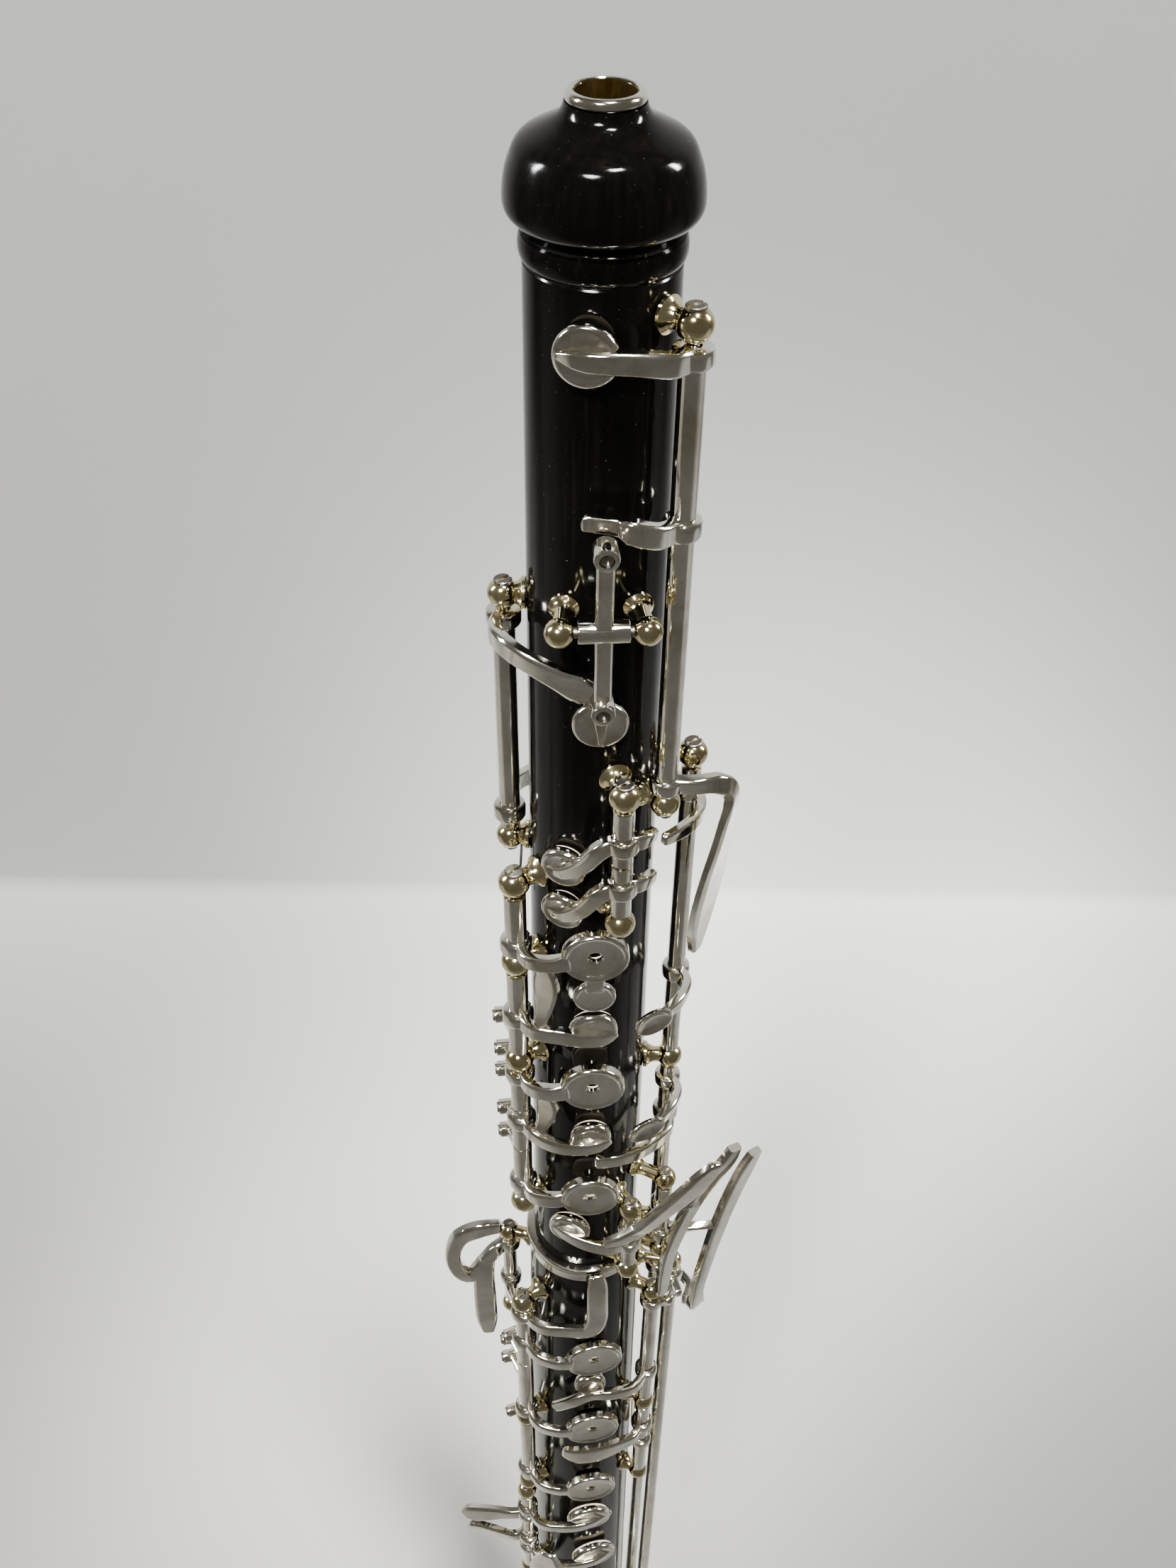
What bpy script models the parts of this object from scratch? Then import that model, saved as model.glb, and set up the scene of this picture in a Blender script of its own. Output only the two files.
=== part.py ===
"""An oboe of the conservatoire system, standing on its bell.

The scene is in metres with +Z up, and its origin is under the middle of the bell. Lengths below are in
millimetres and turn into metres when a mesh is made. Most places are given the way a maker marks a bore:
azimuth (degrees from the front, which is -Y, towards +X), distance from the bore's axis, and depth below the
top of the reed socket.
"""

from math import cos, pi, radians, sin, sqrt

import bmesh
import bpy
from mathutils import Matrix, Vector

# ---- driving dimensions ----------------------------------------------------------------------------------
MM = 0.001
LENGTH = 597.0  # reed socket lip to bell rim
MIDDLE = 231.0  # depth where the upper joint meets the lower joint
BELL_TOP = 470.0  # depth where the lower joint meets the bell
GAP = 0.3  # clearance between separate pieces
LOWER_TURN = 5.9  # the lower joint's front stands this many degrees round from the upper joint's

BALL = 2.2  # radius of a post's ball
TUBE = 1.6  # radius of a hinge tube
STEEL = 0.75  # radius of the hinge steel inside it
BORE = 1.05  # radius of the tube's bore
COLLAR = 0.9  # how much thicker than its tube is the collar that an arm grows from
LUG = 1.5  # radius of a barrel for an adjusting screw
DISC_BASE, DISC_TOP = 12.7, 13.9  # where a flat round touch stands above the wood

CUP_HEIGHT = 2.2
PLATE_HEIGHT = 2.4
OPEN_LIFT = 1.4  # a finger plate stands this far off its hole
HOLE_DEPTH = 14.0
WELD = 0.002  # points this close are one
FLAT = 0.5  # degrees between faces that count as one flat face

ROUND_WOOD = 16
ROUND_CUP = 10
ROUND_POST = 8
ROUND_TUBE = 8

# (depth, radius) down the outside
FINIAL = [(1.6, 4.9), (2.8, 5.6), (3.6, 7.1), (5.0, 9.65), (5.9, 10.5), (8.4, 11.45), (11.6, 11.9),
          (12.8, 11.7),
          (14.4, 10.4), (15.7, 9.75), (17.3, 10.2), (19.2, 9.65)]
UPPER_BODY = [(21.0, 9.75), (136.0, 10.18), (MIDDLE - GAP, 10.7)]
LOWER_BODY = [(MIDDLE, 12.4), (235.2, 12.4), (235.5, 11.75), (321.0, 12.38), (BELL_TOP - GAP, 13.4)]
BELL_BODY = [(BELL_TOP, 16.6), (478.0, 16.6), (479.0, 15.7), (505.0, 15.9), (535.0, 18.2), (560.0, 22.3),
             (578.0, 26.4), (588.0, 28.3), (593.0, 28.5), (596.0, 27.8), (LENGTH, 26.6)]
# (depth, radius) down the bore
BELL_BORE = [(510.0, 9.4), (545.0, 13.0), (575.0, 17.6), (588.0, 19.4), (LENGTH, 19.0)]

PALETTE = {
    "grenadilla": ((0.012, 0.010, 0.010), 0.24, 0.0),
    "silver": ((0.83, 0.81, 0.78), 0.16, 1.0),
    "nickel_silver": ((0.72, 0.64, 0.42), 0.22, 1.0),
    "steel": ((0.36, 0.35, 0.34), 0.30, 1.0),
    "cork": ((0.56, 0.40, 0.24), 0.85, 0.0),
    "pad_skin": ((0.86, 0.80, 0.68), 0.60, 0.0),
}


# ---- places -----------------------------------------------------------------------------------------------
def outward(azimuth):
    return Vector((sin(radians(azimuth)), -cos(radians(azimuth)), 0))


def polar(azimuth, distance, depth):
    return outward(azimuth) * distance + Vector((0, 0, LENGTH - depth))


def surface(depth):
    """Radius of the wood at a depth."""
    outline = UPPER_BODY if depth < MIDDLE else LOWER_BODY if depth < BELL_TOP else BELL_BODY
    for (above, wide), (below, wider) in zip(outline, outline[1:]):
        if depth <= below:
            return wide + (wider - wide) * (depth - above) / (below - above)
    return outline[-1][1]


# ---- solids -----------------------------------------------------------------------------------------------
def solid(rings, looped=False):
    """A closed mesh object, still in millimetres, through rings of points; one point makes a pole."""
    shape = bmesh.new()
    rows = [[shape.verts.new(point) for point in ring] for ring in rings]
    for lower, upper in zip(rows, rows[1:] + rows[:1] if looped else rows[1:]):
        count = max(len(lower), len(upper))
        for i in range(count):
            j = (i + 1) % count
            corners = [lower[i % len(lower)], lower[j % len(lower)],
                       upper[j % len(upper)], upper[i % len(upper)]]
            shape.faces.new(dict.fromkeys(corners))
    if not looped:
        for row in (rows[0], rows[-1]):
            if len(row) > 2:
                shape.faces.new(row)
    bmesh.ops.recalc_face_normals(shape, faces=shape.faces)
    bmesh.ops.triangulate(shape, faces=shape.faces)
    mesh = bpy.data.meshes.new("solid")
    shape.to_mesh(mesh)
    shape.free()
    thing = bpy.data.objects.new("solid", mesh)
    bpy.context.collection.objects.link(thing)
    return thing


def lathe(profile, base, axis, segments, looped=False):
    """A solid turned about a line, from a (radius, height) profile."""
    turn = axis.to_track_quat("Z", "X").to_matrix()
    rings = []
    for radius, height in profile:
        steps = segments if radius else 1
        angles = [2 * pi * i / steps for i in range(steps)]
        rings.append([base + turn @ Vector((radius * cos(a), radius * sin(a), height)) for a in angles])
    return solid(rings, looped)


def rod(start, end, radius, segments=ROUND_TUBE):
    length = (end - start).length
    return lathe([(radius, 0), (radius, length)], start, end - start, segments)


def upright(azimuth, distance, top, bottom, radius, segments=ROUND_TUBE):
    """A round bar along the body, between two depths."""
    return rod(polar(azimuth, distance, bottom), polar(azimuth, distance, top), radius, segments)


# across a bar: (part of its width, part of its thickness), from the side that faces the body
BAR_SECTION = [(-0.5, -0.5), (0.5, -0.5), (0.5, 0.22), (0.36, 0.5), (-0.36, 0.5), (-0.5, 0.22)]


def bar(stations, facing=None):
    """A bevelled bar through its stations, whose flat side faces the body or away from an azimuth.

    A station is (azimuth, distance, depth, width, thickness).
    """
    path = [polar(*station[:3]) for station in stations]
    last = len(path) - 1
    rings = []
    for i, (point, (width, thickness)) in enumerate(zip(path, (station[3:] for station in stations))):
        along = (path[min(i + 1, last)] - path[max(i - 1, 0)]).normalized()
        face = Vector((point.x, point.y, 0)).normalized() if facing is None else outward(facing)
        face = (face - along * face.dot(along)).normalized()
        side = along.cross(face)
        rings.append([point + side * x * width + face * y * thickness for x, y in BAR_SECTION])
    return solid(rings)


def post(base, ball, radius=BALL):
    """A turned post: flange on the wood, waisted neck, ball."""
    reach = (ball - base).length
    profile = [(0, 0), (radius * 1.05, 0), (radius * 0.95, 0.5), (radius * 0.6, 1.6)]
    for turn in (-53, 0, 50):
        profile.append((radius * cos(radians(turn)), reach + radius * sin(radians(turn))))
    profile.append((0, reach + radius))
    return lathe(profile, base, ball - base, ROUND_POST)


def cup_and_pad(azimuth, depth, radius, lift=0.0, with_pad=False):
    """A pad cup, closed below by its pad, or hollow with the pad as a separate solid in its recess."""
    base = polar(azimuth, surface(depth) + GAP + lift, depth)
    wall = radius - 0.6
    cup = [(0, CUP_HEIGHT + 0.2), (radius - 0.9, CUP_HEIGHT), (radius, CUP_HEIGHT - 0.6)]
    if not with_pad:
        return lathe(cup + [(radius, 0), (0, 0)], base, outward(azimuth), ROUND_CUP), None
    pad = [(0, 0), (wall - GAP, 0), (wall - GAP, 1.0), (0, 1.0)]
    return (lathe(cup + [(radius, 0.5), (wall, 0.5), (wall, 1.3),
                         (0, 1.3)], base, outward(azimuth), ROUND_CUP),
            lathe(pad, base, outward(azimuth), ROUND_CUP))


def plate_and_pad(azimuth, depth, radius, lift=OPEN_LIFT):
    """A perforated finger plate with a raised rim and, in its recess, the pierced pad."""
    base = polar(azimuth, surface(depth) + GAP + lift, depth)
    hole, wall, top = 1.1, radius - 0.7, PLATE_HEIGHT
    plate = [(hole, top - 0.45), (radius - 1.0, top - 0.35), (radius - 0.5, top), (radius, top - 0.25),
             (radius, 0.45), (wall, 0.45), (wall, 1.0), (hole, 1.0)]
    pad = [(1.6, 0), (wall - GAP, 0), (wall - GAP, 0.7), (1.6, 0.7)]
    return (lathe(plate, base, outward(azimuth), ROUND_CUP, looped=True),
            lathe(pad, base, outward(azimuth), ROUND_CUP, looped=True))


def spoon(azimuth, distance, depth, length, width, tilt, facing):
    """An oval touch with a raised rim that faces an azimuth; tilt turns its length from the bore's line."""
    centre = polar(azimuth, distance, depth)
    face = outward(facing)
    along = Matrix.Rotation(radians(tilt), 3, face) @ Vector((0, 0, -1))
    side = along.cross(face)
    rings = []
    for size, height in ((0, -0.6), (0.9, -0.6), (1.0, 0.1), (0.85, 0.6), (0.6, 0.05), (0, 0)):
        turns = [2 * pi * i / ROUND_CUP for i in range(ROUND_CUP if size else 1)]
        rings.append([centre + along * (length / 2 * size * cos(t)) + side * (width / 2 * size * sin(t))
                      + face * height for t in turns])
    return solid(rings)


def fuse(solids, cutters=(), origin=Vector()):
    """One body from overlapping solids, less its cutters, moved so that its origin is at zero."""
    for tool in [*solids, *cutters]:
        tool.data.transform(Matrix.Translation(-origin))
    body = solids[0]
    groups = []
    for operation, tools in (("UNION", solids[1:]), ("DIFFERENCE", cutters)):
        if tools:
            group = bpy.data.collections.new(operation)
            for tool in tools:
                group.objects.link(tool)
            step = body.modifiers.new(operation, "BOOLEAN")
            step.operation = operation
            step.solver = "EXACT"
            step.operand_type = "COLLECTION"
            step.collection = group
            groups.append(group)
    view = bpy.context.evaluated_depsgraph_get()
    mesh = bpy.data.meshes.new_from_object(body.evaluated_get(view))
    body.modifiers.clear()
    body.data = mesh
    for tool in [*solids[1:], *cutters]:
        bpy.data.objects.remove(tool)
    for group in groups:
        bpy.data.collections.remove(group)
    return body


def finish(thing, name, slot, origin=Vector()):
    """Clean up, bring to metres, shade, colour and name a node that fuse has made, at its origin."""
    shape = bmesh.new()
    shape.from_mesh(thing.data)
    bmesh.ops.remove_doubles(shape, verts=shape.verts, dist=WELD)
    bmesh.ops.dissolve_limit(shape, angle_limit=radians(FLAT), verts=shape.verts, edges=shape.edges)
    bmesh.ops.triangulate(shape, faces=shape.faces)
    shape.to_mesh(thing.data)
    shape.free()
    thing.data.transform(Matrix.Scale(MM, 4))
    thing.location = origin * MM
    thing.data.shade_smooth()
    thing.data.set_sharp_from_angle(angle=radians(35))
    thing.data.materials.clear()
    thing.data.materials.append(material(slot))
    thing.name = name
    thing.data.name = name
    return thing


def material(slot):
    found = bpy.data.materials.get(slot)
    if found:
        return found
    colour, roughness, metallic = PALETTE[slot]
    made = bpy.data.materials.new(slot)
    made.use_nodes = True
    shader = made.node_tree.nodes["Principled BSDF"]
    shader.inputs["Base Color"].default_value = (*colour, 1)
    shader.inputs["Roughness"].default_value = roughness
    shader.inputs["Metallic"].default_value = metallic
    return made


# ---- hinge lines and keys ---------------------------------------------------------------------------------
class Line:
    """A steel held between ball posts along the body, on which keys turn."""

    def __init__(self, azimuth, distance, posts, ball=BALL, tube=TUBE):
        self.azimuth, self.distance, self.posts = azimuth, distance, posts
        self.ball, self.tube = ball, tube

    def point(self, depth):
        return polar(self.azimuth, self.distance, depth)

    def build(self, name):
        solids = [upright(self.azimuth, self.distance, self.posts[0], self.posts[-1], STEEL)]
        for depth in self.posts:
            foot = polar(self.azimuth, surface(depth + self.ball) + GAP, depth)
            solids.append(post(foot, self.point(depth), self.ball))
        return finish(fuse(solids), name, "nickel_silver")


class Key:
    """A key: tube, collars, arms, cups and touches that turn together on one hinge line."""

    def __init__(self, name, line, top, bottom):
        self.name, self.line, self.top, self.bottom = name, line, top, bottom
        self.solids = [upright(line.azimuth, line.distance, top, bottom, line.tube)]
        self.pads = []

    def collar(self, depth, length=2.8):
        top, bottom = max(depth - length / 2, self.top), min(depth + length / 2, self.bottom)
        line = self.line
        self.solids.append(upright(line.azimuth, line.distance, top, bottom, line.tube + COLLAR))

    def arm(self, depth, *stations, facing=None):
        """A bar from the hinge tube at a depth through the stations."""
        width, thickness = stations[0][3:]
        self.collar(depth)
        self.bar((self.line.azimuth, self.line.distance, depth, width, thickness), *stations, facing=facing)

    def bar(self, *stations, facing=None):
        self.solids.append(bar(stations, facing))

    def spoon(self, *place):
        self.solids.append(spoon(*place))

    def disc(self, azimuth, depth, radius):
        """A flat round touch, just above the wood."""
        base, top = polar(azimuth, DISC_BASE, depth), polar(azimuth, DISC_TOP, depth)
        self.solids.append(rod(base, top, radius, ROUND_CUP))

    def cup(self, azimuth, depth, radius, lift=0.0, with_pad=False):
        cup, pad = cup_and_pad(azimuth, depth, radius, lift, with_pad)
        self.solids.append(cup)
        self.pads.extend([pad] * with_pad)

    def plate(self, azimuth, depth, radius):
        plate, pad = plate_and_pad(azimuth, depth, radius)
        self.solids.append(plate)
        self.pads.append(pad)

    def lug(self, azimuth, depth, inner, outer):
        """A short arm to a barrel standing out from the body, as an adjusting screw sits in."""
        self.bar((self.line.azimuth, self.line.distance, depth, 2.6, 1.7),
                 (azimuth, inner + 1.4, depth, 2.4, 1.7))
        self.solids.append(rod(polar(azimuth, inner, depth), polar(azimuth, outer, depth), LUG))

    def build(self):
        line = self.line
        steel_room = upright(line.azimuth, line.distance, self.top - 2, self.bottom + 2, BORE)
        origin = line.point(self.bottom)
        key = finish(fuse(self.solids, [steel_room], origin), self.name, "silver", origin)
        for pad in self.pads:
            finish(fuse([pad], (), origin), f"{self.name}_pad", "pad_skin")
            pad.parent = key
        return key


SIDE_OCTAVE = Line(47.3, 14.0, (23.3, 99.7), ball=2.35, tube=1.75)
THUMB_OCTAVE = Line(-93.8, 13.2, (68.0, 115.7), ball=2.3, tube=1.7)
TRILL = Line(14.2, 14.9, (93.9, 121.0), ball=2.45, tube=1.7)
UPPER_STACK = Line(-58.8, 15.0, (118.0, 137.0, 163.5, 209.5), ball=2.6, tube=1.85)
SIDE_LEVERS = Line(86.2, 15.3, (97.5, 173.0, 228.0), ball=2.4)
G_SHARP = Line(30.0, 15.9, (205.0, 227.0), ball=2.3)
LITTLE_LEFT = Line(61.0, 17.4, (203.0, 228.5), ball=2.2)
SIDE_TRILL = Line(-108.0, 17.2, (242.5, 274.0), ball=2.3)
LOWER_STACK = Line(LOWER_TURN - 60.0, 16.9, (246.0, 300.0, 336.0), ball=2.5, tube=1.85)
F_LINE = Line(58.0, 16.9, (245.2, 297.0, 336.0), ball=2.3, tube=1.7)
LOW_B = Line(79.0, 19.4, (242.5, 456.0), ball=2.1)
B_FLAT = Line(106.0, 17.4, (243.0, 460.0), ball=2.3)
LITTLE_RIGHT = Line(LOWER_TURN - 61.0, 17.5, (342.4, 392.0, 447.0), ball=2.4, tube=1.8)
BELL_LINE = Line(74.0, 22.5, (492.0, 534.0), ball=2.3)

ROCKER_REACH = 14.9
ROCKER_DEPTH = 63.6
ROCKER_SCREWS = (50.6, 75.8)
ROCKER_BARRELS = (14.3, 13.9)  # where the screws' barrels begin
ROCKER_HUB = 3.5  # half the length of the see-saw's tube
ROCKER_POSTS = 5.9  # from the middle of the see-saw to each of its posts
ROCKER_BALL = 2.05
ROCKER_FOOT = 0.85  # the posts' feet stand this much closer together than their balls


def side_octave_key():
    key = Key("side_octave_key", SIDE_OCTAVE, 25.9, 97.1)
    key.arm(27.1, (33, 14.7, 27.0, 3.2, 1.8), (10, 13.4, 26.3, 3.0, 1.8), (-12.7, 13.0, 26.2, 2.6, 1.6),
            (-29, 12.5, 26.2, 0.9, 0.8))
    key.cup(-12.7, 26.2, 4.1, with_pad=True)
    key.arm(51.0, (28, 14.8, 50.2, 3.4, 1.8), (13, 14.2, 48.9, 3.4, 1.8), (8, 13.4, 48.7, 2.4, 1.0),
            (-11, 13.4, 47.9, 2.2, 1.0))
    key.arm(95.9, (53, 17.5, 95.6, 3.0, 1.9), (61, 20.8, 95.8, 3.2, 1.8), (66, 22.4, 98.6, 3.6, 1.6),
            (64.5, 22.1, 105.0, 8.0, 1.5), (61.5, 21.4, 113.0, 11.0, 1.5), (57, 20.6, 123.0, 8.4, 1.5),
            (54.5, 20.2, 130.5, 2.8, 1.4))
    return key.build()


def thumb_octave_key():
    key = Key("thumb_octave_key", THUMB_OCTAVE, 70.6, 113.1)
    key.arm(71.8, (-76, 15.0, 71.6, 3.4, 1.8), (-55, 14.6, 71.7, 3.4, 1.7), (-32, 12.9, 73.8, 3.8, 1.5),
            (-15, 11.7, 76.0, 5.0, 1.2), (-2, 11.4, 77.8, 3.4, 1.2), (0.3, 12.9, 81.6, 1.8, 1.4),
            (0.3, 12.8, 84.8, 0.8, 0.8))
    key.cup(0.3, 82.0, 4.1)
    key.arm(110.0, (-115, 14.6, 110.5, 3.0, 1.7), (-140, 14.4, 111.5, 4.0, 1.6),
            (-160, 14.4, 113.0, 8.0, 1.6),
            (-185, 14.4, 114.5, 11.0, 1.6), (-203, 14.2, 115.5, 8.0, 1.5))
    return key.build()


def octave_rocker():
    """A see-saw across the body on its own small posts, with a screw barrel at each end."""
    side = Vector((1, 0, 0))
    pivot = polar(0, ROCKER_REACH, ROCKER_DEPTH)
    hub = rod(pivot - side * ROCKER_HUB, pivot + side * ROCKER_HUB, 1.6)
    lever = bar([(0, 15.6, ROCKER_SCREWS[0], 2.7, 1.8), (0, 15.5, 57.0, 2.7, 1.9),
                 (0, 15.0, ROCKER_DEPTH, 3.0, 2.3), (0, 15.5, 70.0, 2.7, 1.9),
                 (0, 15.6, ROCKER_SCREWS[1], 2.7, 1.8)])
    solids = [hub, lever]
    cutters = [rod(pivot - side * 8, pivot + side * 8, 1.15)]
    for depth, inner in zip(ROCKER_SCREWS, ROCKER_BARRELS):
        solids.append(rod(polar(0, inner, depth), polar(0, 17.9, depth), 1.7))
        cutters.append(rod(polar(0, inner - 1, depth), polar(0, 19.0, depth), 1.0))
    rocker = finish(fuse(solids, cutters, pivot), "octave_rocker", "silver", pivot)
    for name, depth in zip(("rocker_screw_upper", "rocker_screw_lower"), ROCKER_SCREWS):
        screw = rod(polar(0, 14.3, depth), polar(0, 17.7, depth), 0.7, ROUND_POST)
        finish(fuse([screw], (), pivot), name, "steel")
        screw.parent = rocker
    return rocker


def rocker_posts():
    pivot = polar(0, ROCKER_REACH, ROCKER_DEPTH)
    ends = [pivot + Vector((side * ROCKER_POSTS, 0, 0)) for side in (-1, 1)]
    solids = [rod(*ends, STEEL)]
    for end in ends:
        foot = end.x * ROCKER_FOOT
        base = Vector((foot, -sqrt(surface(ROCKER_DEPTH) ** 2 - foot ** 2) - GAP - 0.9, end.z))
        solids.append(post(base, end, ROCKER_BALL))
    return finish(fuse(solids), "rocker_posts", "nickel_silver")


def trill_keys():
    upper = Key("trill_key_upper", TRILL, 96.4, 107.4)
    upper.arm(103.3, (2, 15.3, 103.8, 3.0, 1.8), (-10, 14.2, 108.6, 2.8, 1.7), (-24, 13.3, 111.6, 2.2, 1.5),
              (-36, 12.6, 112.2, 0.8, 0.8))
    upper.arm(103.3, (25, 15.7, 103.2, 2.8, 1.8), (34, 15.0, 103.6, 2.4, 1.5))
    upper.cup(-25, 111.8, 3.7)
    lower = Key("trill_key_lower", TRILL, 107.8, 118.5)
    lower.arm(112.6, (2, 15.3, 113.4, 3.0, 1.8), (-11, 14.2, 118.6, 2.8, 1.7), (-25, 13.3, 121.4, 2.2, 1.5),
              (-37, 12.6, 121.8, 0.8, 0.8))
    lower.arm(112.6, (25, 15.7, 112.5, 2.8, 1.8), (35, 15.0, 112.8, 2.4, 1.5))
    lower.cup(-26, 121.7, 3.6)
    return [upper.build(), lower.build()]


def upper_plates():
    """The left hand's keys, on the hinge down the front left of the upper joint."""
    first = Key("left_plate_1", UPPER_STACK, 120.8, 134.2)
    first.arm(132.6, (-43, 16.2, 132.4, 2.8, 1.8), (-29, 15.3, 131.8, 3.0, 1.8),
              (-19, 14.4, 131.2, 3.6, 1.4))
    first.plate(0, 130.3, 5.6)
    first.bar((0, 13.4, 134.5, 3.4, 1.2), (0, 13.4, 138.5, 3.4, 1.2))
    first.disc(0, 140.4, 3.6)
    c_key = Key("c_key", UPPER_STACK, 139.8, 160.7)
    c_key.arm(151.0, (-43, 15.8, 150.8, 3.4, 1.8), (-27, 14.5, 150.9, 3.6, 1.8), (-8, 13.5, 151.8, 3.4, 1.6),
              (8, 13.2, 152.2, 3.0, 1.4), (17, 13.0, 151.8, 1.4, 1.0))
    c_key.bar((-40, 15.3, 150.4, 1.8, 1.2), (-37, 14.5, 147.2, 2.6, 1.2), (-35.5, 14.0, 143.5, 3.8, 1.2),
              (-35, 13.9, 139.4, 4.8, 1.2), (-35, 13.9, 136.6, 3.4, 1.2), (-35, 13.9, 135.4, 1.6, 1.0))
    c_key.cup(0, 150.9, 4.25)
    c_key.lug(-85, 159.0, 13.8, 17.2)
    second = Key("left_plate_2", UPPER_STACK, 166.3, 177.6)
    second.arm(167.4, (-43, 16.2, 167.2, 3.4, 1.8), (-29, 15.4, 166.7, 3.6, 1.8),
               (-19, 14.5, 166.2, 3.8, 1.4))
    second.plate(0, 165.3, 5.75)
    second.lug(-85, 168.6, 13.8, 17.2)
    second.lug(-85, 175.0, 13.8, 17.2)
    vent = Key("b_flat_vent_key", UPPER_STACK, 178.0, 190.2)
    vent.arm(181.6, (-43, 15.8, 181.8, 3.4, 1.8), (-27, 14.7, 183.6, 3.6, 1.8), (-8, 13.6, 184.4, 3.2, 1.6),
             (6, 13.4, 184.0, 2.8, 1.4), (15, 13.2, 183.6, 1.4, 1.0))
    vent.bar((-40, 15.3, 181.2, 1.8, 1.2), (-37, 14.5, 178.6, 2.6, 1.2), (-35.5, 14.0, 175.4, 3.8, 1.2),
             (-35, 13.9, 172.8, 4.2, 1.2), (-35, 13.9, 171.0, 2.2, 1.0))
    vent.cup(0, 182.4, 3.8)
    vent.lug(-85, 187.0, 13.8, 17.2)
    third = Key("left_plate_3", UPPER_STACK, 190.6, 206.9)
    third.arm(202.4, (-43, 16.2, 202.2, 3.4, 1.8), (-29, 15.4, 201.4, 3.6, 1.8),
              (-19, 14.5, 200.9, 3.8, 1.4))
    third.plate(0, 200.2, 5.7)
    third.lug(-85, 194.6, 13.8, 17.2)
    return [key.build() for key in (first, c_key, second, vent, third)]


def side_levers():
    """Two levers with spoon ends, on the long steel down the right of the upper joint."""
    upper = Key("side_lever_upper", SIDE_LEVERS, 100.1, 170.4)
    upper.arm(104.6, (72, 17.4, 104.4, 2.6, 1.6), (57, 17.7, 104.0, 2.6, 1.5), (44, 17.2, 103.8, 2.4, 1.4),
              (37, 16.9, 103.8, 2.0, 1.3))
    upper.arm(148.4, (74, 17.4, 148.2, 3.0, 1.7), (60, 17.5, 147.8, 2.8, 1.6), (47, 17.1, 147.6, 2.4, 1.5),
              facing=40)
    upper.spoon(37.5, 16.8, 147.6, 7.2, 5.6, 122, 14)
    lower = Key("side_lever_lower", SIDE_LEVERS, 175.6, 225.5)
    lower.arm(179.8, (74, 17.4, 179.6, 3.0, 1.7), (60, 17.5, 179.2, 2.8, 1.6), (46, 17.1, 179.2, 2.4, 1.5),
              facing=40)
    lower.spoon(37.5, 16.8, 179.2, 7.6, 5.2, 122, 14)
    lower.arm(190.4, (70, 16.6, 190.2, 3.0, 1.7), (46, 15.0, 189.9, 3.2, 1.6), (24, 13.8, 189.6, 3.2, 1.6),
              (6, 13.2, 189.6, 3.2, 1.4))
    return [upper.build(), lower.build()]


def left_little_finger_keys():
    """G sharp and the two levers beside it, whose touches spread up to the right and face the front."""
    g_sharp = Key("g_sharp_key", G_SHARP, 207.6, 224.4)
    g_sharp.arm(212.0, (32, 18.6, 209.8, 4.0, 1.8), (41, 21.4, 203.4, 4.6, 1.8), (48, 24.4, 197.0, 5.2, 1.8),
                (53, 27.0, 191.0, 4.8, 1.7), (55, 28.4, 187.6, 2.8, 1.5), facing=20)
    g_sharp.bar((10, 16.8, 212.8, 2.2, 1.5), (20, 17.4, 212.0, 3.4, 1.7),
                (32, 18.6, 209.8, 4.0, 1.8), facing=20)
    g_sharp.arm(217.0, (16, 16.0, 216.8, 3.2, 1.8), (0, 14.8, 216.2, 3.2, 1.7), (-18, 13.8, 215.2, 2.8, 1.5),
                (-35, 13.1, 214.6, 0.9, 0.8))
    g_sharp.cup(-18, 214.6, 4.2)
    low_b = Key("left_low_b_lever", LITTLE_LEFT, 205.6, 215.0)
    low_b.arm(212.0, (63, 20.0, 211.6, 3.8, 1.9), (65, 23.0, 210.0, 4.0, 1.9))
    low_b.bar((70, 29.8, 191.0, 2.8, 1.7), (69, 28.4, 196.0, 4.8, 1.8), (67, 25.4, 204.0, 4.8, 1.8),
              (65, 23.2, 211.0, 4.2, 1.9), (58, 21.8, 217.0, 3.8, 1.9), (52, 20.8, 226.0, 3.4, 1.8),
              (50, 20.4, 239.0, 2.6, 1.6), facing=30)
    low_b_flat = Key("left_low_b_flat_lever", LITTLE_LEFT, 215.4, 226.0)
    low_b_flat.arm(222.0, (66, 21.0, 221.8, 3.8, 1.9), (70, 25.0, 221.0, 3.8, 1.9),
                   (72.5, 28.4, 220.0, 3.8, 1.9))
    low_b_flat.bar((74, 33.6, 194.0, 2.8, 1.7), (73.6, 32.4, 199.0, 4.6, 1.8), (73, 30.6, 208.0, 4.8, 1.8),
                   (72.5, 28.8, 219.0, 4.4, 1.9), (72, 27.2, 232.0, 3.8, 1.9), (71, 26.0, 243.0, 3.4, 1.9),
                   (71.5, 25.6, 250.0, 3.6, 1.9), (74, 25.6, 255.0, 4.4, 2.2),
                   (77, 25.4, 258.5, 3.2, 1.8), facing=35)
    return [g_sharp.build(), low_b.build(), low_b_flat.build()]


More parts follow.
